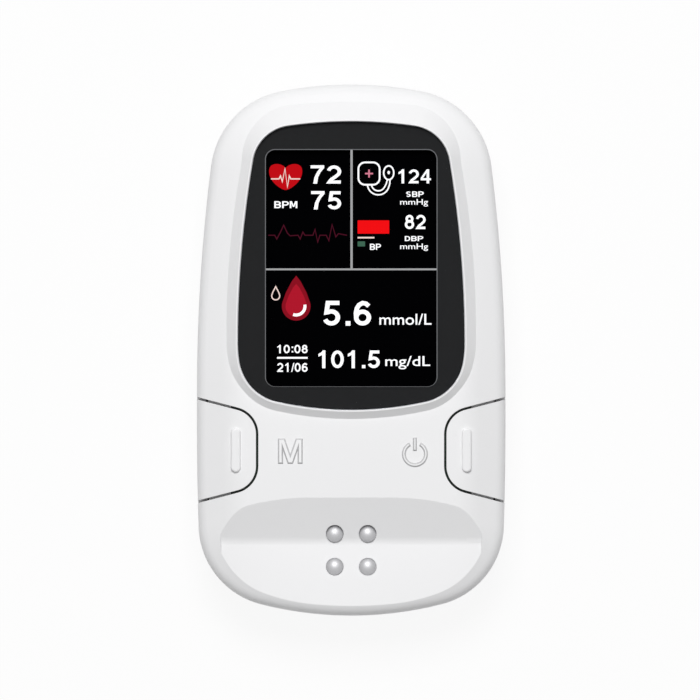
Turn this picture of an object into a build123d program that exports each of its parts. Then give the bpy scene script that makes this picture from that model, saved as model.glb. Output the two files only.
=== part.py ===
"""Hand-held blood glucose meter: two-part moulded case, lens, keys, electrodes, boards and cells.

The meter lies on its back. +Z points out of the display, +Y towards the display end of the case,
and the origin is at the middle of the flat back. Lengths are in millimetres.
"""
from build123d import *
import math
import os

# Case outline: an oval of tangent arcs, seen from the front
BODY_LENGTH = 100.0
BODY_WIDTH = 58.1
TOP_SIDE_R = 336.0
TOP_CORNER_R = 16.4
TOP_END_R = 69.9
BOTTOM_SIDE_R = 579.0
BOTTOM_CORNER_R = 15.5
BOTTOM_END_R = 68.7
STRAIGHT_TOP_Y = -7.5
STRAIGHT_BOTTOM_Y = -14.4

# Case walls and edges
WALL = 1.8
SHOULDER_WIDTH = 7.2
SHOULDER_ANGLE = 25.0
CREASE_R = 10.0
FRONT_EDGE_R = 2.8
BACK_EDGE_R = 4.5
PARTING_Z = 10.0
PARTING_BEVEL = 0.25
LIP_HEIGHT = 1.0
LIP_GAP = 0.12

# Clearances
MOVE_GAP = 0.3
FIT_GAP = 0.15
KEY_GAP = 0.45
DOOR_GAP = 0.25

# AAA cells and their bay
CELL_D = 10.5
CELL_LENGTH = 43.3
CELL_EDGE_R = 0.6
CELL_NIPPLE_D = 3.6
CELL_NIPPLE_LENGTH = 1.2
CELL_SPACING = 0.5
BAY_SIDE_GAP = 0.45
BAY_WALL = 1.2
BAY_ROOF = 1.0
BAY_TOP_FROM_TIP = 16.5
CONTACT_SPACE = 3.2
CONTACT_T = 0.4
CONTACT_PAD_D = 5.8
SPRING_WIRE_D = 0.6
SPRING_WIRE_SIDES = 5
SPRING_D = 6.0
SPRING_TURNS = 3.5

# Battery door
DOOR_OVERLAP = 2.8
DOOR_LAP_Y = 2.0
TONGUE_REACH = 1.0
TONGUE_T = 0.8
TONGUE_END_Y = 4.0
GRIP_WIDTH = 12.0
GRIP_GROOVE = 0.8
GRIP_DEPTH = 0.35
GRIP_PITCH = 2.0
GRIP_COUNT = 5
GRIP_FROM_TOP = 5.0

# Display stack, from the main board up to the lens
BOARD_GAP = 0.5
BOARD_T = 1.2
BACKLIGHT_T = 1.6
PANEL_T = 1.4
GASKET_T = 0.4
SHELF_T = 1.1
TAPE_T = 0.1
MASK_T = 0.1
LENS_T = 1.2

# Lens outline: an oval of tangent arcs
LENS_FROM_SIDE = 7.75
LENS_FROM_TIP = 7.1
LENS_ABOVE_KEYS = 0.95
LENS_BELOW_WIDEST = 12.5
LENS_TOP_TAPER = 4.22
LENS_TOP_CORNER_R = 7.8
LENS_TOP_END_R = 83.3
LENS_BOTTOM_SIDE_R = 21.6
LENS_BOTTOM_CORNER_R = 9.1
LENS_BOTTOM_END_R = 64.6
COLLAR_RIM = 0.4
COLLAR_DROP = 4.0
COLLAR_SIDE_RUN = 3.16
COLLAR_TOP_RUN = 4.2
COLLAR_BOTTOM_RUN = 3.8
TAPE_WIDTH = 1.4

# Display window and panel
BORDER_SIDE = 5.08
BORDER_TOP = 5.1
BORDER_BOTTOM = 4.3
WINDOW_CORNER_R = 1.9
WINDOW_MARGIN = 0.5
PANEL_SIDE = 2.0
PANEL_TOP = 1.6
PANEL_BOTTOM = 3.32
PANEL_STEP = 1.5
FLEX_WIDTH = 12.0
FLEX_T = 0.2
CONNECTOR_WIDTH = 14.0
CONNECTOR_DEPTH = 3.6
CONNECTOR_HEIGHT = 1.3
CONNECTOR_GAP = 2.6
LATCH_INSET = 1.8
LATCH_DEPTH = 1.2
LATCH_T = 0.2

# Keys that wrap round the side edges
KEY_REACH = 11.14
KEY_FROM_END = 31.2
KEY_INNER_LENGTH = 13.3
KEY_TOP_SLANT = 14.4
KEY_BOTTOM_SLANT = 14.7
KEY_CORNER_R = 4.7
KEY_SKIN = 1.5
KEY_RIM = 1.2
KEY_TRAVEL = 0.3
FLANGE_T = 1.0
FLANGE_LAP = 0.8
BAR_WIDTH = 1.8
BAR_LENGTH = 8.3
BAR_HEIGHT = 0.45
BAR_EDGE_R = 0.36
BAR_FROM_EDGE = 7.35
KEY_POST_D = 2.6

# Tact switches under the keys
SWITCH_SIZE = 3.4
SWITCH_CHAMFER = 0.34
SWITCH_FROM_EDGE = 8.15
SWITCH_HEIGHT = 1.6
PLUNGER_D = 2.0
PLUNGER_FIT = 0.08
PLUNGER_RISE = 0.7
PLUNGER_DEPTH = 1.0

# Finger scoop
SCOOP_DEPTH = 3.3
SCOOP_FROM_END = 14.1
SCOOP_BACK_ANGLE = 22.0
SCOOP_FRONT_ANGLE = 3.8
SCOOP_CREASE_R = 3.0
SCOOP_FROM_SIDE = 21.05
SCOOP_END_R = 110.0
SCOOP_SWING = 12.0
SCOOP_CLEAR = 7.0
SCOOP_WALL_FROM_SIDE = 5.1
SCOOP_WALL_DRAFT = 20.0

# Electrode studs
ELECTRODE_D = 3.2
ELECTRODE_PITCH = 6.2
ELECTRODE_DOME = 0.75
ELECTRODE_SEAT = 0.35
ELECTRODE_SHANK_D = 1.8
ELECTRODE_FIT = 0.05
ELECTRODES_FROM_END = 12.35
CONTACT_HEIGHT = 2.2
LEAF_WIDTH = 1.6
LEAF_T = 0.2
LEAF_FOOT = 1.4
LEAF_RAMP = 2.0
LEAF_PAD = 1.6

# Main board
MAIN_WING_TOP = 9.8
MAIN_ABOVE_SENSOR = 2.2
MAIN_TOP_FROM_TIP = 5.8
BOARD_CORNER_R = 1.5

# Screws
CASE_SCREW_D = 2.0
CASE_SCREW_HEAD_D = 3.8
CASE_SCREW_HEAD_H = 1.5
CASE_SCREW_LENGTH = 11.0
CASE_BOSS_D = 5.2
CASE_SEAT_Z = 3.0
CASE_SCREW_TOP_FROM_SIDE = 12.55
CASE_SCREW_TOP_FROM_TIP = 7.8
CASE_SCREW_BOTTOM_FROM_SIDE = 8.55
CASE_SCREW_BOTTOM_FROM_END = 12.5
BOARD_SCREW_D = 1.6
BOARD_SCREW_HEAD_D = 3.2
BOARD_SCREW_HEAD_H = 1.1
BOARD_SCREW_REACH = 2.0
BOARD_BOSS_D = 3.6
BOARD_SCREW_FROM_CASE_SCREW = 6.0
BOARD_SCREW_FROM_KEY = 3.45
BOARD_SCREW_FROM_TOP = 2.3
BOARD_SCREW_FROM_BOTTOM = 2.6
HOLE_GAP = 0.15
DRIVE_WIDTH = 0.45
DRIVE_DEPTH = 0.6
DRIVE_REACH = 0.3

# Sensor board under the scoop
SENSOR_LENGTH = 14.6
SENSOR_T = 1.0
SENSOR_CORNER_R = 3.0
SENSOR_FROM_END = 12.1
SENSOR_FROM_BOSS = 1.9
SENSOR_SCREW_INSET = 4.0
SENSOR_FLEX_WIDTH = 8.0
SENSOR_FLEX_T = 0.15
SENSOR_FLEX_LAP = 2.6

# Components on the boards
MCU_SIZE = 7.0
MCU_H = 1.2
MCU_BEVEL = 0.8
MCU_AT = (-4.6, 6.5)
BUZZER_D = 8.5
BUZZER_H = 3.0
BUZZER_PORT_D = 1.6
BUZZER_AT = (0.0, 10.5)
CRYSTAL_SIZE = (3.2, 2.5, 0.8)
CRYSTAL_CORNER_R = 0.4
CRYSTAL_AT = (3.6, 6.5)
INDUCTOR_SIZE = 4.8
INDUCTOR_H = 2.4
INDUCTOR_GAP = 0.5
INDUCTOR_CHAMFER = 1.0
CHIP_CAP_SIZE = (1.25, 2.0, 1.0)
CHIP_CAP_PITCH = 4.0
CHIP_CAP_COUNT = 4
SENSOR_CHIP_SIZE = 5.0
SENSOR_CHIP_H = 1.0

# Places that follow from the sizes above
HALF_WIDTH = BODY_WIDTH / 2
TIP_Y = BODY_LENGTH / 2
SLOPE = math.radians(SHOULDER_ANGLE)

SHELF_Z = WALL + MOVE_GAP
CELL_Z = SHELF_Z + CELL_D / 2
BAY_ROOF_Z = SHELF_Z + CELL_D + CELL_SPACING / 2
BOARD_Z = BAY_ROOF_Z + BAY_ROOF + BOARD_GAP
BOARD_TOP_Z = BOARD_Z + BOARD_T
PANEL_Z = BOARD_TOP_Z + BACKLIGHT_T
GASKET_Z = PANEL_Z + PANEL_T
LENS_SHELF_Z = GASKET_Z + GASKET_T
FACE_Z = LENS_SHELF_Z + SHELF_T
MASK_Z = FACE_Z + TAPE_T
LENS_Z = MASK_Z + MASK_T
COLLAR_Z = LENS_Z + LENS_T

CELL_X = (CELL_D + CELL_SPACING) / 2
BAY_HALF = CELL_X + CELL_D / 2 + BAY_SIDE_GAP
BAY_TOP_Y = TIP_Y - BAY_TOP_FROM_TIP
BAY_LENGTH = CELL_LENGTH + CELL_NIPPLE_LENGTH + 2 * CONTACT_SPACE
BAY_BOTTOM_Y = BAY_TOP_Y - BAY_LENGTH
DOOR_HALF = BAY_HALF + DOOR_OVERLAP
DOOR_TOP_Y = BAY_TOP_Y + DOOR_LAP_Y

KEY_Y = -TIP_Y + KEY_FROM_END
LENS_WIDTH = BODY_WIDTH - 2 * LENS_FROM_SIDE
LENS_TOP_Y = TIP_Y - LENS_FROM_TIP
LENS_BOTTOM_Y = KEY_Y + KEY_INNER_LENGTH / 2 + LENS_ABOVE_KEYS
LENS_LENGTH = LENS_TOP_Y - LENS_BOTTOM_Y
LENS_WIDEST_Y = LENS_BOTTOM_Y + LENS_BELOW_WIDEST
LENS_ABOVE_WIDEST = LENS_LENGTH - LENS_BELOW_WIDEST
LENS_TOP_SIDE_R = (LENS_ABOVE_WIDEST**2 + LENS_TOP_TAPER**2) / (2 * LENS_TOP_TAPER)
WINDOW_WIDTH = LENS_WIDTH - 2 * BORDER_SIDE
WINDOW_TOP_Y = LENS_TOP_Y - BORDER_TOP
WINDOW_BOTTOM_Y = LENS_BOTTOM_Y + BORDER_BOTTOM
WINDOW_LENGTH = WINDOW_TOP_Y - WINDOW_BOTTOM_Y
WINDOW_Y = (WINDOW_TOP_Y + WINDOW_BOTTOM_Y) / 2
PANEL_HALF = WINDOW_WIDTH / 2 + PANEL_SIDE
PANEL_TOP_Y = WINDOW_TOP_Y + PANEL_TOP
PANEL_BOTTOM_Y = WINDOW_BOTTOM_Y - PANEL_BOTTOM

KEY_INNER_X = HALF_WIDTH - KEY_REACH
KEY_BAR_X = HALF_WIDTH - BAR_FROM_EDGE
SWITCH_X = HALF_WIDTH - SWITCH_FROM_EDGE
KEY_FLOOR_Z = PARTING_Z + KEY_TRAVEL + MOVE_GAP
SWITCH_TOP_Z = BOARD_TOP_Z + SWITCH_HEIGHT
PLUNGER_TOP_Z = SWITCH_TOP_Z + PLUNGER_RISE

SCOOP_Y = -TIP_Y + SCOOP_FROM_END
SCOOP_FLAT_HALF = HALF_WIDTH - SCOOP_FROM_SIDE
SCOOP_WALL_HALF = HALF_WIDTH - SCOOP_WALL_FROM_SIDE
SCOOP_Z = FACE_Z - SCOOP_DEPTH
ELECTRODE_Y = -TIP_Y + ELECTRODES_FROM_END
SHANK_END_Z = SCOOP_Z - WALL - MOVE_GAP
SENSOR_TOP_Z = SHANK_END_Z - CONTACT_HEIGHT
SENSOR_Z = SENSOR_TOP_Z - SENSOR_T
SENSOR_Y = -TIP_Y + SENSOR_FROM_END
SENSOR_EDGE_Y = SENSOR_Y + SENSOR_LENGTH / 2

MAIN_HALF_WIDTH = BAY_HALF + BAY_WALL + INDUCTOR_SIZE + 2 * INDUCTOR_GAP
MAIN_TOP_Y = TIP_Y - MAIN_TOP_FROM_TIP
MAIN_BOTTOM_Y = SENSOR_EDGE_Y + MAIN_ABOVE_SENSOR
MAIN_WING_HALF = SWITCH_X + SWITCH_SIZE / 2 + MOVE_GAP
MAIN_WING_Y = KEY_Y + MAIN_WING_TOP

CASE_SCREW_TOP = (HALF_WIDTH - CASE_SCREW_TOP_FROM_SIDE, TIP_Y - CASE_SCREW_TOP_FROM_TIP)
CASE_SCREW_BOTTOM = (HALF_WIDTH - CASE_SCREW_BOTTOM_FROM_SIDE, -TIP_Y + CASE_SCREW_BOTTOM_FROM_END)
BOARD_SCREW_TOP = (CASE_SCREW_TOP[0] - BOARD_SCREW_FROM_CASE_SCREW, MAIN_TOP_Y - BOARD_SCREW_FROM_TOP)
BOARD_SCREW_BOTTOM = (KEY_INNER_X - BOARD_SCREW_FROM_KEY, MAIN_BOTTOM_Y + BOARD_SCREW_FROM_BOTTOM)
SENSOR_HALF = CASE_SCREW_BOTTOM[0] - CASE_BOSS_D / 2 - SENSOR_FROM_BOSS

CASE_SCREWS = [(side * x, y) for x, y in (CASE_SCREW_TOP, CASE_SCREW_BOTTOM) for side in (-1, 1)]
BOARD_SCREWS = [(side * x, y) for x, y in (BOARD_SCREW_TOP, BOARD_SCREW_BOTTOM) for side in (-1, 1)]
SENSOR_SCREWS = [(side * (SENSOR_HALF - SENSOR_SCREW_INSET), SENSOR_Y) for side in (-1, 1)]
ELECTRODES = {
    "upper_left": (-1, 1),
    "upper_right": (1, 1),
    "lower_left": (-1, -1),
    "lower_right": (1, -1),
}

ON_BASE = (Align.CENTER, Align.CENTER, Align.MIN)
TOUCH = 0.001


# Outline helpers


def end_arcs(half_width, tip, widest, side_r, corner_r, end_r, inset):
    """The five tangent arcs of an oval's +Y end, from its right side to its left side."""
    side = Vector(half_width - side_r, widest)
    nose = Vector(0, tip - end_r)
    span = nose - side
    from_side = side_r - corner_r
    from_nose = end_r - corner_r
    along = (from_side**2 - from_nose**2 + span.length**2) / (2 * span.length)
    across = math.sqrt(from_side**2 - along**2)
    unit = span.normalized()
    corner = side + unit * along + Vector(-unit.Y, unit.X) * across
    lift = math.degrees(math.atan2(corner.Y - side.Y, corner.X - side.X))
    turn = math.degrees(math.atan2(corner.Y - nose.Y, corner.X - nose.X))
    left_side = Vector(-side.X, side.Y)
    left_corner = Vector(-corner.X, corner.Y)
    return [
        CenterArc(side, side_r - inset, 0, lift),
        CenterArc(corner, corner_r - inset, lift, turn - lift),
        CenterArc(nose, end_r - inset, turn, 180 - 2 * turn),
        CenterArc(left_corner, corner_r - inset, 180 - turn, turn - lift),
        CenterArc(left_side, side_r - inset, 180 - lift, lift),
    ]


def body_face(inset=0.0):
    """The case outline, moved inwards all round by inset."""
    top = end_arcs(HALF_WIDTH, TIP_Y, STRAIGHT_TOP_Y, TOP_SIDE_R, TOP_CORNER_R, TOP_END_R, inset)
    bottom = end_arcs(
        HALF_WIDTH, TIP_Y, -STRAIGHT_BOTTOM_Y, BOTTOM_SIDE_R, BOTTOM_CORNER_R, BOTTOM_END_R, inset
    )
    side_x = HALF_WIDTH - inset
    sides = [Line((x, STRAIGHT_BOTTOM_Y), (x, STRAIGHT_TOP_Y)) for x in (-side_x, side_x)]
    return make_face(top + [mirror(arc, about=Plane.XZ) for arc in bottom] + sides)


def lens_face(inset=0.0, side_run=0.0, top_run=0.0, bottom_run=0.0):
    """The lens outline, moved inwards by inset, or grown by its own run on each side."""
    half = LENS_WIDTH / 2 + side_run
    above = LENS_ABOVE_WIDEST + top_run
    below = LENS_BELOW_WIDEST + bottom_run
    top = end_arcs(
        half,
        above,
        0,
        LENS_TOP_SIDE_R + side_run,
        LENS_TOP_CORNER_R + (side_run + top_run) / 2,
        LENS_TOP_END_R + top_run,
        inset,
    )
    bottom = end_arcs(
        half,
        below,
        0,
        LENS_BOTTOM_SIDE_R + side_run,
        LENS_BOTTOM_CORNER_R + (side_run + bottom_run) / 2,
        LENS_BOTTOM_END_R + bottom_run,
        inset,
    )
    return Pos(0, LENS_WIDEST_Y) * make_face(top + [mirror(arc, about=Plane.XZ) for arc in bottom])


def slab(low, high):
    """A box from its low corner to its high corner."""
    size = [b - a for a, b in zip(low, high)]
    middle = [(a + b) / 2 for a, b in zip(low, high)]
    return Pos(*middle) * Box(*size)


def rod(x, y, low_z, high_z, diameter):
    """An upright round bar."""
    return Pos(x, y, low_z) * Cylinder(diameter / 2, high_z - low_z, align=ON_BASE)


def plate(face, low_z, high_z):
    """A flat face raised to a plate."""
    return Pos(0, 0, low_z) * extrude(face, high_z - low_z)


def edges_at(part, z):
    """The edges that lie flat at height z."""
    return part.edges().filter_by_position(Axis.Z, z - TOUCH, z + TOUCH)


def strip(points, thickness, width):
    """A bent sheet-metal or film strip: points are (y, z) of its lower side, its width along X."""
    upper = [(y, z + thickness) for y, z in reversed(points)]
    profile = Plane.YZ * make_face(Polyline(*points, *upper, close=True))
    return extrude(profile, width / 2, both=True)


# Case forms


def front_form(inset=0.0):
    """The solid under the front skin: sloped shoulders all round a flat face."""
    top_z = FACE_Z - inset
    width = SHOULDER_WIDTH - inset * (1 - math.tan(SLOPE / 2))
    drop = width * math.tan(SLOPE)
    form = plate(body_face(inset), PARTING_Z, top_z)
    top = form.faces().sort_by(Axis.Z)[-1]
    form = chamfer(top.edges(), length=width, length2=drop, reference=top)
    if inset == 0:
        form = fillet(edges_at(form, top_z), CREASE_R)
        form = fillet(edges_at(form, top_z - drop), FRONT_EDGE_R)
        form = chamfer(edges_at(form, PARTING_Z), PARTING_BEVEL)
    return form


def rear_form(inset=0.0, top_z=PARTING_Z):
    """The solid inside the back skin, with its rounded back edge."""
    form = plate(body_face(inset), inset, top_z)
    if inset == 0:
        form = chamfer(edges_at(form, top_z), PARTING_BEVEL)
    return fillet(edges_at(form, inset), BACK_EDGE_R - inset)


def scoop_form(drop=0.0):
    """The space above the finger scoop: a shallow valley that curves up to its end walls."""
    floor_z = SCOOP_Z - drop
    rise = SCOOP_CLEAR
    back_y = SCOOP_Y + rise / math.tan(math.radians(SCOOP_BACK_ANGLE))
    front_y = -TIP_Y - SCOOP_DEPTH
    front_z = (SCOOP_Y - front_y) * math.tan(math.radians(SCOOP_FRONT_ANGLE))
    corners = [(SCOOP_Y, 0), (back_y, rise), (front_y, rise), (front_y, front_z)]
    outline = make_face(Polyline(*corners, close=True))
    valley = outline.vertices().sort_by_distance((SCOOP_Y, 0))[0]
    profile = fillet(valley, SCOOP_CREASE_R)
    section = Plane.YZ * profile
    centre_z = floor_z + SCOOP_END_R + drop
    form = extrude(Pos(0, 0, floor_z) * section, SCOOP_FLAT_HALF, both=True)
    for side in (-1, 1):
        hinge = Axis((side * SCOOP_FLAT_HALF, 0, centre_z), (0, -side, 0))
        form += revolve(Pos(side * SCOOP_FLAT_HALF, 0, floor_z) * section, hinge, SCOOP_SWING)
    draft = math.radians(SCOOP_WALL_DRAFT)
    low_x = SCOOP_WALL_HALF + drop * (1 - math.sin(draft)) / math.cos(draft)
    high_x = low_x + 2 * rise * math.tan(draft)
    corners = [(-low_x, 0), (low_x, 0), (high_x, 2 * rise), (-high_x, 2 * rise)]
    walls = Plane.XZ * make_face(Polyline(*corners, close=True))
    return form & extrude(Pos(0, 0, floor_z) * walls, BODY_LENGTH, both=True)


def key_face(side, grow=0.0):
    """One key's outline from the front: slanted ends, a round-cornered inner edge."""
    inner_x = KEY_INNER_X
    outer_x = HALF_WIDTH + KEY_REACH / 2
    reach = outer_x - inner_x
    half = KEY_INNER_LENGTH / 2
    top_y = KEY_Y + half + reach * math.tan(math.radians(KEY_TOP_SLANT))
    bottom_y = KEY_Y - half - reach * math.tan(math.radians(KEY_BOTTOM_SLANT))
    corners = [(inner_x, KEY_Y - half), (inner_x, KEY_Y + half), (outer_x, top_y), (outer_x, bottom_y)]
    outline = make_face(Polyline(*corners, close=True))
    face = fillet(outline.vertices().group_by(Axis.X)[0], KEY_CORNER_R)
    if grow:
        face = offset(face, grow, kind=Kind.INTERSECTION)
    return face if side > 0 else mirror(face, about=Plane.YZ)


def key_prism(side, grow=0.0):
    """The key's outline through the whole depth of the front shell."""
    return plate(key_face(side, grow), PARTING_Z - LIP_HEIGHT, COLLAR_Z)


# Case parts


def front_shell():
    """Front moulding: shoulders, lens collar, scoop, key notches, screw bosses."""
    foot_outline = lens_face(-COLLAR_RIM, COLLAR_SIDE_RUN, COLLAR_TOP_RUN, COLLAR_BOTTOM_RUN)
    foot = Pos(0, 0, COLLAR_Z - COLLAR_DROP) * foot_outline
    rim = Pos(0, 0, COLLAR_Z) * lens_face(-COLLAR_RIM)
    collar = loft([foot, rim], ruled=True)
    outside = front_form() + collar - scoop_form()
    cavity = front_form(WALL) - scoop_form(WALL)
    shell = outside - cavity

    seat = front_form(WALL / 2) - scoop_form(WALL / 2)
    bosses = [rod(x, y, PARTING_Z, FACE_Z, CASE_BOSS_D) for x, y in CASE_SCREWS]
    bosses += [rod(x, y, BOARD_TOP_Z, FACE_Z, BOARD_BOSS_D) for x, y in BOARD_SCREWS]
    bosses += [rod(x, y, SENSOR_TOP_Z, FACE_Z, BOARD_BOSS_D) for x, y in SENSOR_SCREWS]
    for boss in bosses:
        shell += boss & seat

    pocket = slab(
        (-PANEL_HALF - MOVE_GAP, PANEL_BOTTOM_Y - MOVE_GAP, BOARD_TOP_Z),
        (PANEL_HALF + MOVE_GAP, PANEL_TOP_Y + MOVE_GAP, LENS_SHELF_Z),
    )
    window = slab(
        (-WINDOW_WIDTH / 2 - WINDOW_MARGIN, WINDOW_BOTTOM_Y - WINDOW_MARGIN, LENS_SHELF_Z - SHELF_T),
        (WINDOW_WIDTH / 2 + WINDOW_MARGIN, WINDOW_TOP_Y + WINDOW_MARGIN, COLLAR_Z),
    )
    shell = shell - pocket - window - plate(lens_face(-FIT_GAP), FACE_Z, COLLAR_Z + FIT_GAP)

    rebate = plate(body_face(WALL / 2), PARTING_Z, PARTING_Z + LIP_HEIGHT + LIP_GAP)
    rebate -= plate(body_face(WALL), PARTING_Z, PARTING_Z + LIP_HEIGHT + LIP_GAP)
    for x, y in CASE_SCREWS:
        rebate -= rod(x, y, PARTING_Z, PARTING_Z + LIP_HEIGHT + LIP_GAP, CASE_BOSS_D)
    shell -= rebate

    for x, y in CASE_SCREWS:
        shell -= rod(x, y, PARTING_Z, CASE_SEAT_Z + CASE_SCREW_LENGTH, CASE_SCREW_D)
    for x, y in BOARD_SCREWS:
        shell -= rod(x, y, BOARD_TOP_Z, BOARD_TOP_Z + BOARD_SCREW_REACH, BOARD_SCREW_D)
    for x, y in SENSOR_SCREWS:
        shell -= rod(x, y, SENSOR_TOP_Z, SENSOR_TOP_Z + BOARD_SCREW_REACH, BOARD_SCREW_D)
    for name in ELECTRODES:
        x, y, seat_z = electrode_place(name)
        shell -= rod(x, y, seat_z, FACE_Z, ELECTRODE_D + 2 * ELECTRODE_FIT)
        shell -= rod(x, y, SHANK_END_Z, FACE_Z, ELECTRODE_SHANK_D + 2 * ELECTRODE_FIT)
    for side in (-1, 1):
        shell -= key_prism(side, KEY_GAP)
    return shell


def rear_shell():
    """Back moulding: battery bay, door recess with its grooves, screw bosses, parting lip."""
    outside = rear_form()
    shell = outside - rear_form(WALL)
    shelf_top = SHELF_Z + BAY_WALL
    rail_half = DOOR_HALF + TONGUE_REACH + MOVE_GAP + BAY_WALL
    recess = slab((-rail_half, -TIP_Y, 0), (rail_half, DOOR_TOP_Y + DOOR_GAP + BAY_WALL, shelf_top))
    bulkhead_y = -TIP_Y + WALL + MOVE_GAP + BAY_WALL
    bulkhead = slab((-rail_half, -TIP_Y, 0), (rail_half, bulkhead_y, PARTING_Z))
    bay = slab(
        (-BAY_HALF - BAY_WALL, BAY_BOTTOM_Y - BAY_WALL, SHELF_Z),
        (BAY_HALF + BAY_WALL, BAY_TOP_Y + BAY_WALL, BAY_ROOF_Z + BAY_ROOF),
    )
    shell = shell + (recess & outside) + (bulkhead & outside) + bay

    space_half = DOOR_HALF + DOOR_GAP
    door_space = slab(
        (-space_half, -TIP_Y - WALL, -WALL), (space_half, DOOR_TOP_Y + DOOR_GAP, PARTING_Z)
    )
    shell -= door_space - rear_form(SHELF_Z, BAY_ROOF_Z)
    groove_z = WALL - TONGUE_T - MOVE_GAP / 2
    for side in (-1, 1):
        low_x, high_x = sorted((side * BAY_HALF, side * (DOOR_HALF + TONGUE_REACH + MOVE_GAP)))
        shell -= slab((low_x, -TIP_Y - WALL, groove_z), (high_x, DOOR_TOP_Y + DOOR_GAP, SHELF_Z))
    shell -= slab((-BAY_HALF, BAY_BOTTOM_Y, WALL), (BAY_HALF, BAY_TOP_Y, BAY_ROOF_Z))

    inside = rear_form(WALL / 2)
    for x, y in CASE_SCREWS:
        shell += rod(x, y, WALL / 2, PARTING_Z, CASE_BOSS_D) & inside
    for x, y in CASE_SCREWS:
        shell -= rod(x, y, -WALL, CASE_SEAT_Z, CASE_SCREW_HEAD_D + 2 * MOVE_GAP)
        shell -= rod(x, y, 0, PARTING_Z, CASE_SCREW_D + 2 * HOLE_GAP)

    lip = plate(body_face(WALL / 2 + LIP_GAP), PARTING_Z - LIP_HEIGHT, PARTING_Z + LIP_HEIGHT)
    lip -= plate(body_face(WALL), PARTING_Z - LIP_HEIGHT, PARTING_Z + LIP_HEIGHT)
    reach = KEY_FROM_END + KEY_INNER_LENGTH
    for side in (-1, 1):
        lip -= key_prism(side, KEY_GAP + FLANGE_LAP + MOVE_GAP)
    lip -= slab((-space_half, -TIP_Y, 0), (space_half, -TIP_Y + reach, COLLAR_Z))
    for x, y in CASE_SCREWS:
        lip -= rod(x, y, 0, COLLAR_Z, CASE_BOSS_D + 2 * LIP_GAP)
    return shell + (lip - plate(body_face(), 0, PARTING_Z - LIP_GAP))


def battery_door():
    """Sliding door: back skin, its part of the end wall, side tongues and finger grip."""
    skin = rear_form() - rear_form(WALL)
    door = skin & slab((-DOOR_HALF, -TIP_Y, 0), (DOOR_HALF, DOOR_TOP_Y, PARTING_Z - DOOR_GAP))
    tongue_end = -TIP_Y + TONGUE_END_Y
    for side in (-1, 1):
        low_x, high_x = sorted((side * (DOOR_HALF - WALL), side * (DOOR_HALF + TONGUE_REACH)))
        door += slab((low_x, tongue_end, WALL - TONGUE_T), (high_x, DOOR_TOP_Y - DOOR_LAP_Y, WALL))
    for index in range(GRIP_COUNT):
        y = DOOR_TOP_Y - GRIP_FROM_TOP - index * GRIP_PITCH
        door -= slab((-GRIP_WIDTH / 2, y - GRIP_GROOVE, 0), (GRIP_WIDTH / 2, y, GRIP_DEPTH))
    return door


# Lens and display


def display_lens():
    """Clear lens, flush with the collar's rim."""
    return plate(lens_face(), LENS_Z, COLLAR_Z)


def lens_mask():
    """Black printed border behind the lens."""
    opening = Pos(0, WINDOW_Y) * RectangleRounded(WINDOW_WIDTH, WINDOW_LENGTH, WINDOW_CORNER_R)
    return plate(lens_face(), MASK_Z, LENS_Z) - plate(opening, MASK_Z, LENS_Z)


def lens_tape():
    """Adhesive ring that holds the lens on its shelf."""
    return plate(lens_face(), FACE_Z, MASK_Z) - plate(lens_face(TAPE_WIDTH), FACE_Z, MASK_Z)


def lcd_gasket():
    """Foam frame between the panel and the lens shelf."""
    outer = slab((-PANEL_HALF, PANEL_BOTTOM_Y, GASKET_Z), (PANEL_HALF, PANEL_TOP_Y, LENS_SHELF_Z))
    opening = slab(
        (-WINDOW_WIDTH / 2 - WINDOW_MARGIN, WINDOW_BOTTOM_Y - WINDOW_MARGIN, GASKET_Z),
        (WINDOW_WIDTH / 2 + WINDOW_MARGIN, WINDOW_TOP_Y + WINDOW_MARGIN, LENS_SHELF_Z),
    )
    return outer - opening


def lcd_panel():
    """Display glass: a full lower pane and a shorter upper pane."""
    pane_z = PANEL_Z + PANEL_T / 2
    lower = slab((-PANEL_HALF, PANEL_BOTTOM_Y, PANEL_Z), (PANEL_HALF, PANEL_TOP_Y, pane_z))
    upper_y = PANEL_BOTTOM_Y + PANEL_STEP
    return lower + slab((-PANEL_HALF, upper_y, pane_z), (PANEL_HALF, PANEL_TOP_Y, GASKET_Z))


def lcd_backlight():
    """White light-guide tray behind the panel."""
    return slab((-PANEL_HALF, PANEL_BOTTOM_Y, BOARD_TOP_Z), (PANEL_HALF, PANEL_TOP_Y, PANEL_Z))


def lcd_flex():
    """Film cable from the panel's lower edge down into the board connector."""
    edge_z = BOARD_TOP_Z + CONNECTOR_HEIGHT / 2
    points = [
        (PANEL_BOTTOM_Y, PANEL_Z - BACKLIGHT_T / 4),
        (PANEL_BOTTOM_Y - CONNECTOR_GAP / 3, PANEL_Z - BACKLIGHT_T / 4),
        (PANEL_BOTTOM_Y - CONNECTOR_GAP * 2 / 3, edge_z),
        (PANEL_BOTTOM_Y - CONNECTOR_GAP, edge_z),
    ]
    return strip(points, FLEX_T, FLEX_WIDTH)


def lcd_connector():
    """Flip-lock connector on the main board."""
    high_y = PANEL_BOTTOM_Y - CONNECTOR_GAP
    low_y = high_y - CONNECTOR_DEPTH
    half = CONNECTOR_WIDTH / 2
    body = slab((-half, low_y, BOARD_TOP_Z), (half, high_y, BOARD_TOP_Z + CONNECTOR_HEIGHT))
    top_z = BOARD_TOP_Z + CONNECTOR_HEIGHT
    latch_half = half - LATCH_INSET
    latch = slab((-latch_half, low_y, top_z), (latch_half, low_y + LATCH_DEPTH, top_z + LATCH_T))
    return body + latch


# Keys and switches


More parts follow.
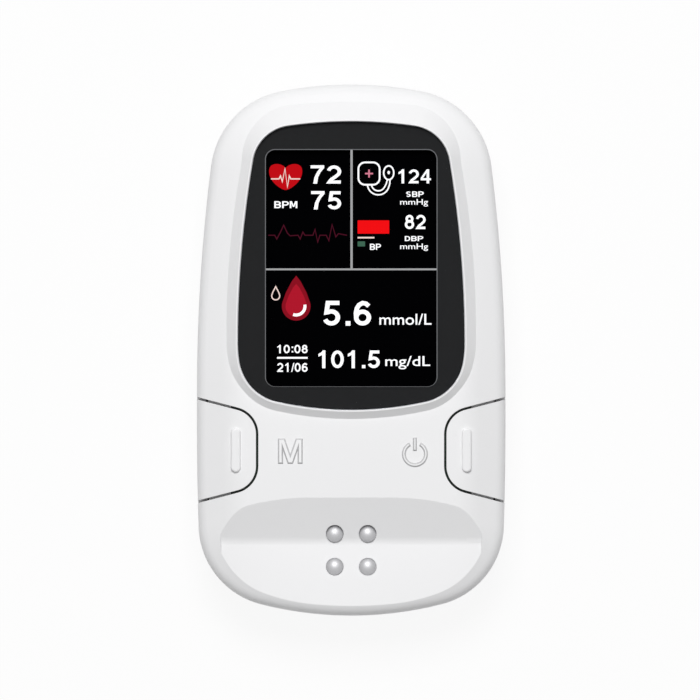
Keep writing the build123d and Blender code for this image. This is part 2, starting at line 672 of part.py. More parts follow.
def key(side):
    """A wrap-round key: hollow cap, retaining tabs on its slanted ends, bar, post onto its switch."""
    flange_top = front_form(WALL + MOVE_GAP)
    flange_bottom = front_form(WALL + MOVE_GAP + FLANGE_T)
    outline = key_prism(side)
    core = key_prism(side, -KEY_RIM)
    wide = key_prism(side, KEY_GAP + FLANGE_LAP)
    cap = (front_form() - front_form(KEY_SKIN)) & outline
    rim = (front_form() - flange_bottom) & (outline - core)
    tab_x = KEY_INNER_X + KEY_CORNER_R
    inner_edge = slab((-tab_x, -BODY_LENGTH, 0), (tab_x, BODY_LENGTH, COLLAR_Z))
    flange = (flange_top - flange_bottom) & (wide - core - inner_edge)
    keep = slab((-BODY_WIDTH, -BODY_LENGTH, KEY_FLOOR_Z), (BODY_WIDTH, BODY_LENGTH, COLLAR_Z))
    body = (cap + rim + flange) & keep
    bar_outline = Pos(side * KEY_BAR_X, KEY_Y) * Rot(0, 0, 90) * SlotOverall(BAR_LENGTH, BAR_WIDTH)
    bar = plate(bar_outline, FACE_Z - KEY_SKIN / 2, FACE_Z + BAR_HEIGHT)
    bar = fillet(edges_at(bar, FACE_Z + BAR_HEIGHT), BAR_EDGE_R)
    post = rod(side * SWITCH_X, KEY_Y, PLUNGER_TOP_Z, FACE_Z - KEY_SKIN / 2, KEY_POST_D)
    return body + bar + post


def switch(side):
    """Tact switch housing with the hole its plunger rides in."""
    half = SWITCH_SIZE / 2
    x = side * SWITCH_X
    body = slab((x - half, KEY_Y - half, BOARD_TOP_Z), (x + half, KEY_Y + half, SWITCH_TOP_Z))
    body = chamfer(body.edges().filter_by(Axis.Z), SWITCH_CHAMFER)
    hole_z = BOARD_TOP_Z + (SWITCH_HEIGHT - PLUNGER_DEPTH - KEY_TRAVEL) / 2
    return body - rod(x, KEY_Y, hole_z, SWITCH_TOP_Z, PLUNGER_D + 2 * PLUNGER_FIT)


def plunger(side):
    """The moving stem of a tact switch."""
    return rod(side * SWITCH_X, KEY_Y, SWITCH_TOP_Z - PLUNGER_DEPTH, PLUNGER_TOP_Z, PLUNGER_D)


# Electrodes and the sensor board


def electrode_place(name):
    """Centre of one electrode and the height of its flat seat in the scoop."""
    across, along = ELECTRODES[name]
    x = across * ELECTRODE_PITCH / 2
    y = ELECTRODE_Y + along * ELECTRODE_PITCH / 2
    low_y = min(abs(y - ELECTRODE_D / 2 - SCOOP_Y), abs(y + ELECTRODE_D / 2 - SCOOP_Y))
    angle = SCOOP_BACK_ANGLE if y > SCOOP_Y else SCOOP_FRONT_ANGLE
    floor_z = SCOOP_Z + low_y * math.tan(math.radians(angle))
    return x, y, floor_z - ELECTRODE_SEAT


def electrode(name):
    """Stainless stud: domed head on a shank that reaches through the shell."""
    x, y, seat_z = electrode_place(name)
    rim_z = seat_z + 2 * ELECTRODE_SEAT
    radius = ELECTRODE_D / 2
    dome_r = (radius**2 + ELECTRODE_DOME**2) / (2 * ELECTRODE_DOME)
    head = rod(x, y, seat_z, rim_z + ELECTRODE_DOME, ELECTRODE_D)
    dome = Pos(x, y, rim_z + ELECTRODE_DOME - dome_r) * Sphere(dome_r)
    return (head & dome) + rod(x, y, SHANK_END_Z, seat_z + ELECTRODE_SEAT, ELECTRODE_SHANK_D)


def electrode_contacts():
    """Four bent spring leaves: a foot on the sensor board, a ramp, and a pad under the shank."""
    leaves = []
    for name in ELECTRODES:
        x, y, _ = electrode_place(name)
        pad_y = y - LEAF_PAD / 2
        ramp_y = pad_y - LEAF_RAMP
        high_z = SHANK_END_Z - LEAF_T
        points = [
            (ramp_y - LEAF_FOOT, SENSOR_TOP_Z),
            (ramp_y, SENSOR_TOP_Z),
            (pad_y, high_z),
            (pad_y + LEAF_PAD, high_z),
        ]
        leaves.append(Pos(x, 0, 0) * strip(points, LEAF_T, LEAF_WIDTH))
    return Compound(leaves)


def sensor_board():
    """Small circuit board under the scoop."""
    outline = Pos(0, SENSOR_Y) * RectangleRounded(2 * SENSOR_HALF, SENSOR_LENGTH, SENSOR_CORNER_R)
    board = plate(outline, SENSOR_Z, SENSOR_TOP_Z)
    for x, y in SENSOR_SCREWS:
        board -= rod(x, y, SENSOR_Z, SENSOR_TOP_Z, BOARD_SCREW_D + 2 * HOLE_GAP)
    return board


def measurement_chip():
    """Analogue chip under the sensor board."""
    half = SENSOR_CHIP_SIZE / 2
    return slab(
        (-half, SENSOR_Y - half, SENSOR_Z - SENSOR_CHIP_H), (half, SENSOR_Y + half, SENSOR_Z)
    )


def sensor_flex():
    """Film cable from the sensor board up to the underside of the main board."""
    low_z = SENSOR_TOP_Z
    high_z = BOARD_Z - SENSOR_FLEX_T
    points = [
        (SENSOR_EDGE_Y - SENSOR_FLEX_LAP, low_z),
        (SENSOR_EDGE_Y + MOVE_GAP, low_z),
        (MAIN_BOTTOM_Y - MOVE_GAP, high_z),
        (MAIN_BOTTOM_Y + SENSOR_FLEX_LAP, high_z),
    ]
    return strip(points, SENSOR_FLEX_T, SENSOR_FLEX_WIDTH)


# Main board and its components


def main_board():
    """Main circuit board: wings for the key switches, notches round the upper case bosses."""
    board = slab((-MAIN_HALF_WIDTH, MAIN_BOTTOM_Y, BOARD_Z), (MAIN_HALF_WIDTH, MAIN_TOP_Y, BOARD_TOP_Z))
    board += slab((-MAIN_WING_HALF, MAIN_BOTTOM_Y, BOARD_Z), (MAIN_WING_HALF, MAIN_WING_Y, BOARD_TOP_Z))
    reach = CASE_BOSS_D / 2 + MOVE_GAP
    x, y = CASE_SCREW_TOP
    for side in (-1, 1):
        low_x, high_x = sorted((side * (x - reach), side * HALF_WIDTH))
        board -= slab((low_x, y - reach, BOARD_Z), (high_x, TIP_Y, BOARD_TOP_Z))
    shortest_side = min(edge.length for edge in edges_at(board, BOARD_TOP_Z))
    radius = min(BOARD_CORNER_R, shortest_side / 2 - MOVE_GAP / 2)
    board = fillet(board.edges().filter_by(Axis.Z), radius)
    for x, y in BOARD_SCREWS:
        board -= rod(x, y, BOARD_Z, BOARD_TOP_Z, BOARD_SCREW_D + 2 * HOLE_GAP)
    return board


def microcontroller():
    """Square chip with a bevelled pin-one corner, on the board below the display."""
    x, above_edge = MCU_AT
    y = MAIN_BOTTOM_Y + above_edge
    half = MCU_SIZE / 2
    chip = slab((x - half, y - half, BOARD_TOP_Z), (x + half, y + half, BOARD_TOP_Z + MCU_H))
    corner = (x - half, y + half, BOARD_TOP_Z)
    pin_one = chip.edges().filter_by(Axis.Z).sort_by_distance(corner)[0]
    return chamfer(pin_one, MCU_BEVEL)


def crystal():
    """Clock crystal in its metal can, beside the microcontroller."""
    width, length, height = CRYSTAL_SIZE
    x, above_edge = CRYSTAL_AT
    y = MAIN_BOTTOM_Y + above_edge
    low = (x - width / 2, y - length / 2, BOARD_TOP_Z)
    can = slab(low, (x + width / 2, y + length / 2, BOARD_TOP_Z + height))
    return fillet(can.edges().filter_by(Axis.Z), CRYSTAL_CORNER_R)


def buzzer():
    """Round sounder with its sound port."""
    x, from_tip = BUZZER_AT
    y = TIP_Y - from_tip
    low_z = BOARD_Z - BUZZER_H
    return rod(x, y, low_z, BOARD_Z, BUZZER_D) - rod(x, y, low_z, low_z + BUZZER_H / 2, BUZZER_PORT_D)


def power_inductor():
    """Shielded coil of the display supply, beside the battery bay."""
    x = (BAY_HALF + BAY_WALL + MAIN_HALF_WIDTH) / 2
    half = INDUCTOR_SIZE / 2
    coil = slab((x - half, WINDOW_Y - half, BOARD_Z - INDUCTOR_H), (x + half, WINDOW_Y + half, BOARD_Z))
    return chamfer(coil.edges().filter_by(Axis.Z), INDUCTOR_CHAMFER)


def chip_capacitors():
    """Two rows of chip capacitors beside the battery bay."""
    width, length, height = CHIP_CAP_SIZE
    column_x = (BAY_HALF + BAY_WALL + MAIN_HALF_WIDTH) / 2
    first_y = WINDOW_Y - INDUCTOR_SIZE / 2 - CHIP_CAP_PITCH
    chips = []
    for side in (-1, 1):
        for index in range(CHIP_CAP_COUNT):
            x = side * column_x
            y = first_y - index * CHIP_CAP_PITCH
            low = (x - width / 2, y - length / 2, BOARD_Z - height)
            chips.append(slab(low, (x + width / 2, y + length / 2, BOARD_Z)))
    return Compound(chips)


# Cells and contacts


def battery(side):
    """AAA cell; the one on the +X side points its nipple down the case, the other up."""
    direction = -side
    middle_y = (BAY_TOP_Y + BAY_BOTTOM_Y) / 2
    can = Cylinder(CELL_D / 2, CELL_LENGTH)
    can = fillet(can.edges(), CELL_EDGE_R)
    nipple_at = (CELL_LENGTH + CELL_NIPPLE_LENGTH) / 2
    nipple = Pos(0, 0, nipple_at) * Cylinder(CELL_NIPPLE_D / 2, CELL_NIPPLE_LENGTH)
    cell = Pos(0, 0, -CELL_NIPPLE_LENGTH / 2) * (can + nipple)
    return Pos(side * CELL_X, middle_y, CELL_Z) * Rot(-90 * direction, 0, 0) * cell


def contact_plate(x_low, x_high, wall_y, inward):
    """Sprung sheet-metal plate against an end wall of the bay."""
    low_y, high_y = sorted((wall_y, wall_y + inward * CONTACT_T))
    half = CELL_D / 2 - CELL_SPACING
    return slab((x_low, low_y, CELL_Z - half), (x_high, high_y, CELL_Z + half))


def coil_spring(x, wall_y, inward):
    """Battery spring from a contact plate to the cell's flat end."""
    start = wall_y + inward * (CONTACT_T + SPRING_WIRE_D / 2)
    height = CONTACT_SPACE - CONTACT_T - SPRING_WIRE_D
    radius = (SPRING_D - SPRING_WIRE_D) / 2
    path = Helix(height / SPRING_TURNS, height, radius, cone_angle=0)
    section = RegularPolygon(SPRING_WIRE_D / 2, SPRING_WIRE_SIDES)
    coil = sweep(Plane(path @ 0, z_dir=path % 0) * section, path, is_frenet=True)
    return Pos(x, start, CELL_Z) * Rot(-90 * inward, 0, 0) * coil


def contact_pad(x, wall_y, inward):
    """Tapered pad pressed out of a contact plate, up to a cell's nipple."""
    pad = Cone(
        CONTACT_PAD_D / 2, CELL_NIPPLE_D / 2, CONTACT_SPACE - CONTACT_T, align=ON_BASE
    )
    return Pos(x, wall_y + inward * CONTACT_T, CELL_Z) * Rot(-90 * inward, 0, 0) * pad


def negative_contact():
    """Plate and spring at the bottom end, for the cell whose flat end is there."""
    half = CELL_D / 2 - CELL_SPACING
    sheet = contact_plate(-CELL_X - half, -CELL_X + half, BAY_BOTTOM_Y, 1)
    return Compound([sheet, coil_spring(-CELL_X, BAY_BOTTOM_Y, 1)])


def positive_contact():
    """Plate with a raised pad at the bottom end, for the other cell's nipple."""
    half = CELL_D / 2 - CELL_SPACING
    sheet = contact_plate(CELL_X - half, CELL_X + half, BAY_BOTTOM_Y, 1)
    return sheet + contact_pad(CELL_X, BAY_BOTTOM_Y, 1)


def bridge_contact():
    """Plate across the top end that joins the two cells, with one spring and one pad."""
    half = CELL_D / 2 - CELL_SPACING
    sheet = contact_plate(-CELL_X - half, CELL_X + half, BAY_TOP_Y, -1)
    joined = sheet + contact_pad(-CELL_X, BAY_TOP_Y, -1)
    return Compound([joined, coil_spring(CELL_X, BAY_TOP_Y, -1)])


# Screws


def screw(x, y, seat_z, head_d, head_h, shank_d, length):
    """Cross-head screw pointing up, its head below seat_z."""
    head = rod(x, y, seat_z - head_h, seat_z, head_d)
    head = fillet(edges_at(head, seat_z - head_h), head_h / 2)
    body = head + rod(x, y, seat_z, seat_z + length, shank_d)
    arm = head_d * DRIVE_REACH
    half = DRIVE_WIDTH / 2
    low_z = seat_z - head_h
    cross = slab((x - arm, y - half, low_z), (x + arm, y + half, low_z + DRIVE_DEPTH))
    cross += slab((x - half, y - arm, low_z), (x + half, y + arm, low_z + DRIVE_DEPTH))
    return body - cross


def case_screws():
    """The four screws that close the case from the back."""
    size = (CASE_SEAT_Z, CASE_SCREW_HEAD_D, CASE_SCREW_HEAD_H, CASE_SCREW_D, CASE_SCREW_LENGTH)
    return Compound([screw(x, y, *size) for x, y in CASE_SCREWS])


def board_screws():
    """The four screws that hold the main board to the front shell."""
    length = BOARD_T + BOARD_SCREW_REACH
    size = (BOARD_Z, BOARD_SCREW_HEAD_D, BOARD_SCREW_HEAD_H, BOARD_SCREW_D, length)
    return Compound([screw(x, y, *size) for x, y in BOARD_SCREWS])


def sensor_board_screws():
    """The two screws that hold the sensor board to the front shell."""
    length = SENSOR_T + BOARD_SCREW_REACH
    size = (SENSOR_Z, BOARD_SCREW_HEAD_D, BOARD_SCREW_HEAD_H, BOARD_SCREW_D, length)
    return Compound([screw(x, y, *size) for x, y in SENSOR_SCREWS])


parts = {
    "front_shell": front_shell(),
    "rear_shell": rear_shell(),
    "battery_door": battery_door(),
    "display_lens": display_lens(),
    "lens_mask": lens_mask(),
    "lens_tape": lens_tape(),
    "lcd_gasket": lcd_gasket(),
    "lcd_panel": lcd_panel(),
    "lcd_backlight": lcd_backlight(),
    "lcd_flex": lcd_flex(),
    "lcd_connector": lcd_connector(),
    "mode_key": key(-1),
    "power_key": key(1),
    "mode_switch": switch(-1),
    "power_switch": switch(1),
    "mode_switch_plunger": plunger(-1),
    "power_switch_plunger": plunger(1),
    "electrode_contacts": electrode_contacts(),
    "sensor_board": sensor_board(),
    "measurement_chip": measurement_chip(),
    "sensor_flex": sensor_flex(),
    "main_board": main_board(),
    "microcontroller": microcontroller(),
    "crystal": crystal(),
    "buzzer": buzzer(),
    "power_inductor": power_inductor(),
    "chip_capacitors": chip_capacitors(),
    "battery_left": battery(-1),
    "battery_right": battery(1),
    "negative_contact": negative_contact(),
    "positive_contact": positive_contact(),
    "bridge_contact": bridge_contact(),
    "case_screws": case_screws(),
    "board_screws": board_screws(),
    "sensor_board_screws": sensor_board_screws(),
}
for stud in ELECTRODES:
    parts["electrode_" + stud] = electrode(stud)

os.makedirs("parts", exist_ok=True)
for name, shape in parts.items():
    export_step(shape, "parts/" + name + ".step")
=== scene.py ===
"""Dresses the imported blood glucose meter: finishes, lit readings, moulded key signs, stage and camera.

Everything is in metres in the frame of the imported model: +Z points out of the display,
+Y towards the display end, and the origin is at the middle of the flat back.
"""

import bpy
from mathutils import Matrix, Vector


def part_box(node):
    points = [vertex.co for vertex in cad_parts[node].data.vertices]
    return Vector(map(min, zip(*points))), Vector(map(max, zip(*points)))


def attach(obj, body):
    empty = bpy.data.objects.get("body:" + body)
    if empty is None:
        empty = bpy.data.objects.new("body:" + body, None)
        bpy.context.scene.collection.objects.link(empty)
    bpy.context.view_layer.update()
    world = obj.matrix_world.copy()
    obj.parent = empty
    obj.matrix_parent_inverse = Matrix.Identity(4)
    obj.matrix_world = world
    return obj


bl_info = {
    "name": "Blood glucose meter",
    "version": (1, 0, 0),
    "blender": (4, 5, 0),
    "location": "View3D > Sidebar > Meter",
    "description": "Finishes and small details of a hand-held blood glucose meter",
    "category": "Object",
}

import math

import bmesh
import bpy
from mathutils import Vector
from mathutils.geometry import tessellate_polygon

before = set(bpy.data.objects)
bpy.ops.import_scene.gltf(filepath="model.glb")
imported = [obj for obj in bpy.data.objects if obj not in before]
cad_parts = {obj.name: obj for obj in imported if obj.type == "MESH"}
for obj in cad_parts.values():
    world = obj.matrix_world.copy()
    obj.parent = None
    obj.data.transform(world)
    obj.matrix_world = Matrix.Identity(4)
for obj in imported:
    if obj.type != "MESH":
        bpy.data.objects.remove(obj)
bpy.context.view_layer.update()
MM = 0.001


# Colours, properties and nodes

def linear(hex_colour):
    """Turns an sRGB hex colour into the linear values that a socket takes."""
    parts = [int(hex_colour[i:i + 2], 16) / 255 for i in (1, 3, 5)]
    parts = [v / 12.92 if v <= 0.04045 else ((v + 0.055) / 1.055) ** 2.4 for v in parts]
    return (*parts, 1.0)


def tone(shade, gain, lift=0.0):
    """A lighter or darker tone of a linear colour."""
    return tuple(min(1.0, v * gain + lift) for v in shade[:3]) + (1.0,)


def colour(name, description, hex_colour):
    """A colour that a user may change."""
    return bpy.props.FloatVectorProperty(
        name=name, description=description, subtype="COLOR", size=4,
        min=0.0, max=1.0, default=linear(hex_colour),
    )


def length(name, description, millimetres):
    """A length that a user may change."""
    return bpy.props.FloatProperty(
        name=name, description=description, unit="LENGTH", min=0.0,
        precision=5, default=millimetres * MM,
    )


class MeterColours(bpy.types.PropertyGroup):
    """Colours of the meter's visible finishes."""

    case: colour("Case", "White of the two moulded shells and the door", "#F5F5F6")
    keys: colour("Keys", "White of the two side keys", "#F4F4F5")
    # The sign tops are the case white painted lighter, a painted highlight, and the sign sides are the case
    # white painted darker, a painted shade
    signs: colour("Signs", "Polished tops of the moulded signs", "#FAFAFB")
    sign_sides_painted_shade: colour("Sign sides", "Blasted sides of the moulded signs", "#CDCDCE")
    border: colour("Border", "Ink printed on the back of the lens", "#292929")
    outline: colour("Outline", "Thin printed line around the window", "#747474")
    dark_pixels: colour("Dark pixels", "Display glass where it is not lit", "#020203")
    digits: colour("Digits", "Lit figures and units", "#FFFFFF")
    dividers: colour("Dividers", "Lit lines between the fields", "#ABABAB")
    pulse: colour("Pulse sign", "Lit heart", "#C40B14")
    trace: colour("Trace", "Dim pulse trace", "#4A1122")
    drop: colour("Drop", "Lit drop", "#8C1020")
    level: colour("Level bar", "Lit bar of the pressure level", "#F80D12")
    normal: colour("Normal mark", "Small green square", "#3F6753")
    steel: colour("Electrodes", "Satin stainless steel", "#BABABC")
    boards: colour("Boards", "Solder mask of the circuit boards", "#0D3A24")


class MeterSizes(bpy.types.PropertyGroup):
    """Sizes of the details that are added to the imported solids."""

    sign_height: length("Sign height", "How far the moulded key signs stand up from the face", 0.4)
    sign_stroke: length("Sign stroke", "Width of the strokes of the key signs", 1.0)
    outline_width: length("Outline width", "Width of the line around the window", 0.17)
    divider_width: length("Divider width", "Width of the lines between the fields", 0.42)
    edge_radius: length("Edge radius", "Softened edge of moulded plastic", 0.14)


def node(tree, kind, inputs=None, **settings):
    """Adds a node. An input is a plain value, or another node's output that is linked to it."""
    made = tree.nodes.new(kind)
    for name, value in settings.items():
        setattr(made, name, value)
    for name, value in (inputs or {}).items():
        if isinstance(value, bpy.types.NodeSocket):
            tree.links.new(value, made.inputs[name])
        else:
            made.inputs[name].default_value = value
    return made


def blank(name):
    """Starts a material, and gives it with its empty node tree."""
    made = bpy.data.materials.new(name)
    made.use_nodes = True
    made.node_tree.nodes.clear()
    return made, made.node_tree


def surfaced(made, surface):
    """Ends a material with the socket of its surface."""
    node(made.node_tree, "ShaderNodeOutputMaterial", {"Surface": surface})
    return made


def band_scale(pitch):
    """Scale of a wave texture whose bands repeat at a pitch in millimetres."""
    return 1000 / pitch * math.pi / 10


# Materials, each started from what the real one is

def moulded_abs(name, shade, edge_radius, grain=0.45, depth=0.004):
    """ABS, injection moulded against fine-blasted steel: an even satin sheen, and edges that catch
    a soft line of light. The grain of about 0.1 mm is drawn coarser so that it shows."""
    made, tree = blank(name)
    place = node(tree, "ShaderNodeTexCoord").outputs["Object"]
    fine = node(tree, "ShaderNodeTexNoise", {"Vector": place, "Scale": 1000 / grain, "Detail": 3.0})
    flow = node(tree, "ShaderNodeTexNoise", {"Vector": place, "Scale": 1000 / 18, "Detail": 1.0})
    gloss = node(tree, "ShaderNodeMapRange", {"Value": fine.outputs["Fac"], "To Min": 0.3, "To Max": 0.42})
    tint = node(tree, "ShaderNodeMix", {
        0: flow.outputs["Fac"], 6: shade, 7: tone(shade, 0.985),
    }, data_type="RGBA")
    soft = node(tree, "ShaderNodeBevel", {"Radius": edge_radius}, samples=6)
    bump = node(tree, "ShaderNodeBump", {
        "Height": fine.outputs["Fac"], "Strength": 0.35, "Distance": depth * MM,
        "Normal": soft.outputs["Normal"],
    })
    shader = node(tree, "ShaderNodeBsdfPrincipled", {
        "Base Color": tint.outputs[2], "Roughness": gloss.outputs["Result"], "IOR": 1.53,
        "Specular IOR Level": 0.4, "Normal": bump.outputs["Normal"],
    })
    return surfaced(made, shader.outputs["BSDF"])


def relief_abs_with_painted_light_and_shade(top, side):
    """ABS relief out of a blasted mould with polished tops and matt sloped sides. The tops carry a painted
    highlight, a colour lighter than the case, and the sides carry painted shade, darker by how steeply they
    face, so that the sign reads at a glance."""
    made, tree = blank("moulded ABS relief with painted light and shade")
    place = node(tree, "ShaderNodeTexCoord").outputs["Object"]
    normal = node(tree, "ShaderNodeNewGeometry").outputs["True Normal"]
    facing = node(tree, "ShaderNodeSeparateXYZ", {"Vector": normal})
    # Painted light and shade: faces that look straight out take the lighter top colour, and sloped sides take
    # the darker side colour
    flat = node(tree, "ShaderNodeMapRange", {
        "Value": facing.outputs["Z"], "From Min": 0.75, "From Max": 0.95,
    })
    grain = node(tree, "ShaderNodeTexNoise", {"Vector": place, "Scale": 1000 / 0.45, "Detail": 3.0})
    tint = node(tree, "ShaderNodeMix", {0: flat.outputs["Result"], 6: side, 7: top}, data_type="RGBA")
    gloss = node(tree, "ShaderNodeMapRange", {"Value": flat.outputs["Result"], "To Min": 0.5, "To Max": 0.25})
    bump = node(tree, "ShaderNodeBump", {
        "Height": grain.outputs["Fac"], "Strength": 0.3, "Distance": 0.004 * MM,
    })
    shader = node(tree, "ShaderNodeBsdfPrincipled", {
        "Base Color": tint.outputs[2], "Roughness": gloss.outputs["Result"], "IOR": 1.53,
        "Specular IOR Level": 0.4, "Normal": bump.outputs["Normal"],
    })
    return surfaced(made, shader.outputs["BSDF"])


def clear_acrylic():
    """PMMA, injection moulded and coated against reflections: clear and polished. The coat takes away
    the reflection of what is straight in front, so the specular tint is black and the index is lower
    than PMMA's 1.49, and only a slanting look at the lens shows a sheen."""
    made, tree = blank("clear PMMA with an anti-reflection coat")
    place = node(tree, "ShaderNodeTexCoord").outputs["Object"]
    smear = node(tree, "ShaderNodeTexNoise", {"Vector": place, "Scale": 1000 / 9, "Detail": 4.0})
    gloss = node(tree, "ShaderNodeMapRange", {"Value": smear.outputs["Fac"], "To Min": 0.0, "To Max": 0.02})
    shader = node(tree, "ShaderNodeBsdfPrincipled", {
        "Base Color": linear("#FCFDFF"), "Roughness": gloss.outputs["Result"], "IOR": 1.05,
        "Transmission Weight": 1.0, "Specular Tint": (0.0, 0.0, 0.0, 1.0),
    })
    rays = node(tree, "ShaderNodeLightPath")
    soft = node(tree, "ShaderNodeMath", {
        0: rays.outputs["Is Shadow Ray"], 1: rays.outputs["Is Diffuse Ray"],
    }, operation="MAXIMUM")
    clear = node(tree, "ShaderNodeBsdfTransparent", {"Color": linear("#FCFDFF")})
    through = node(tree, "ShaderNodeMixShader", {
        0: soft.outputs["Value"], 1: shader.outputs["BSDF"], 2: clear.outputs["BSDF"],
    })
    return surfaced(made, through.outputs["Shader"])


def printed_ink(name, shade):
    """Screen-printed ink on the back of the lens: dense and matt, with the faint unevenness of the
    screen, whose threads are drawn 0.5 mm apart so that they show."""
    made, tree = blank(name)
    place = node(tree, "ShaderNodeTexCoord").outputs["Object"]
    screen = node(tree, "ShaderNodeTexNoise", {"Vector": place, "Scale": 1000 / 0.5, "Detail": 2.0})
    tint = node(tree, "ShaderNodeMix", {
        0: screen.outputs["Fac"], 6: shade, 7: tone(shade, 1.08),
    }, data_type="RGBA")
    shader = node(tree, "ShaderNodeBsdfPrincipled", {
        "Base Color": tint.outputs[2], "Roughness": 0.7, "Specular IOR Level": 0.0,
    })
    return surfaced(made, shader.outputs["BSDF"])


def pressed_film(name, shade, roughness=0.75, depth=0.02):
    """Foam or acrylic adhesive film, cut from a roll: matt, with closed cells 0.4 mm across."""
    made, tree = blank(name)
    place = node(tree, "ShaderNodeTexCoord").outputs["Object"]
    cells = node(tree, "ShaderNodeTexVoronoi", {"Vector": place, "Scale": 1000 / 0.4})
    bump = node(tree, "ShaderNodeBump", {
        "Height": cells.outputs["Distance"], "Strength": 0.5, "Distance": depth * MM,
    })
    tint = node(tree, "ShaderNodeMix", {
        0: cells.outputs["Distance"], 6: shade, 7: tone(shade, 1.4, 0.004),
    }, data_type="RGBA")
    shader = node(tree, "ShaderNodeBsdfPrincipled", {
        "Base Color": tint.outputs[2], "Roughness": roughness, "Normal": bump.outputs["Normal"],
    })
    return surfaced(made, shader.outputs["BSDF"])


# Pitch of the display's pixels, in millimetres: 0.14 on the real one, drawn coarser so that it shows
PIXEL = 0.28


def display_glass(shade):
    """Colour display glass behind its polariser: near black when it is not lit, with a faint grid of
    pixels."""
    made, tree = blank("polarised display glass")
    place = node(tree, "ShaderNodeTexCoord").outputs["Object"]
    grid = node(tree, "ShaderNodeTexBrick", {
        "Vector": place, "Color1": shade, "Color2": shade, "Mortar": tone(shade, 1.0, 0.0006),
        "Scale": 1000.0, "Mortar Size": 0.02, "Brick Width": PIXEL, "Row Height": PIXEL,
    }, offset=0.0)
    shader = node(tree, "ShaderNodeBsdfPrincipled", {
        "Base Color": grid.outputs["Color"], "Roughness": 0.18, "IOR": 1.5, "Specular IOR Level": 0.0,
    })
    return surfaced(made, shader.outputs["BSDF"])


def lit_pixels(name, shade, strength=1.0):
    """Backlit pixels: even light, with the dark lines between the pixels just visible."""
    made, tree = blank(name)
    place = node(tree, "ShaderNodeTexCoord").outputs["Object"]
    grid = node(tree, "ShaderNodeTexBrick", {
        "Vector": place, "Color1": shade, "Color2": shade, "Mortar": tone(shade, 0.86),
        "Scale": 1000.0, "Mortar Size": 0.012, "Brick Width": PIXEL, "Row Height": PIXEL,
    }, offset=0.0)
    shader = node(tree, "ShaderNodeBsdfPrincipled", {
        "Base Color": linear("#050505"), "Roughness": 0.6, "Specular IOR Level": 0.0,
        "Emission Color": grid.outputs["Color"], "Emission Strength": strength,
    })
    return surfaced(made, shader.outputs["BSDF"])


def moulded_polymer(name, shade, roughness, grain=0.5):
    """Small moulded engineering plastic, such as nylon or polycarbonate: dull, slightly uneven."""
    made, tree = blank(name)
    place = node(tree, "ShaderNodeTexCoord").outputs["Object"]
    grains = node(tree, "ShaderNodeTexNoise", {"Vector": place, "Scale": 1000 / grain, "Detail": 4.0})
    tint = node(tree, "ShaderNodeMix", {
        0: grains.outputs["Fac"], 6: shade, 7: tone(shade, 0.8),
    }, data_type="RGBA")
    gloss = node(tree, "ShaderNodeMapRange", {
        "Value": grains.outputs["Fac"], "To Min": roughness - 0.08, "To Max": roughness + 0.08,
    })
    bump = node(tree, "ShaderNodeBump", {
        "Height": grains.outputs["Fac"], "Strength": 0.3, "Distance": 0.01 * MM,
    })
    shader = node(tree, "ShaderNodeBsdfPrincipled", {
        "Base Color": tint.outputs[2], "Roughness": gloss.outputs["Result"], "Normal": bump.outputs["Normal"],
    })
    return surfaced(made, shader.outputs["BSDF"])


def polyimide_flex():
    """Etched copper between two polyimide films: amber, with darker tracks 0.5 mm wide along it."""
    made, tree = blank("polyimide flex")
    place = node(tree, "ShaderNodeTexCoord").outputs["Object"]
    tracks = node(tree, "ShaderNodeTexWave", {"Vector": place, "Scale": band_scale(1.0)}, bands_direction="X")
    sharp = node(tree, "ShaderNodeMapRange", {
        "Value": tracks.outputs["Fac"], "From Min": 0.4, "From Max": 0.6,
    })
    tint = node(tree, "ShaderNodeMix", {
        0: sharp.outputs["Result"], 6: linear("#C8791F"), 7: linear("#8E4C12"),
    }, data_type="RGBA")
    bump = node(tree, "ShaderNodeBump", {
        "Height": sharp.outputs["Result"], "Strength": 0.4, "Distance": 0.02 * MM,
    })
    shader = node(tree, "ShaderNodeBsdfPrincipled", {
        "Base Color": tint.outputs[2], "Roughness": 0.35, "Normal": bump.outputs["Normal"],
    })
    return surfaced(made, shader.outputs["BSDF"])


def solder_mask(shade):
    """Glass-epoxy board under cured solder mask: green, glossy, with raised copper tracks and the
    faint weave of the glass cloth, 0.6 mm to a thread."""
    made, tree = blank("solder mask on glass epoxy")
    place = node(tree, "ShaderNodeTexCoord").outputs["Object"]
    tracks = node(tree, "ShaderNodeTexBrick", {
        "Vector": place, "Color1": (0, 0, 0, 1), "Color2": (0, 0, 0, 1), "Mortar": (1, 1, 1, 1),
        "Scale": 1000.0, "Mortar Size": 0.09, "Brick Width": 3.7, "Row Height": 0.9,
    }, offset=0.37)
    weave = node(tree, "ShaderNodeTexChecker", {"Vector": place, "Scale": 1000 / 0.6})
    tint = node(tree, "ShaderNodeMix", {
        0: tracks.outputs["Color"], 6: shade, 7: tone(shade, 1.9, 0.01),
    }, data_type="RGBA")
    height = node(tree, "ShaderNodeMath", {
        0: tracks.outputs["Color"], 1: weave.outputs["Fac"], 2: 0.8,
    }, operation="MULTIPLY_ADD")
    bump = node(tree, "ShaderNodeBump", {
        "Height": height.outputs["Value"], "Strength": 0.4, "Distance": 0.03 * MM,
    })
    shader = node(tree, "ShaderNodeBsdfPrincipled", {
        "Base Color": tint.outputs[2], "Roughness": 0.3, "Normal": bump.outputs["Normal"],
    })
    return surfaced(made, shader.outputs["BSDF"])


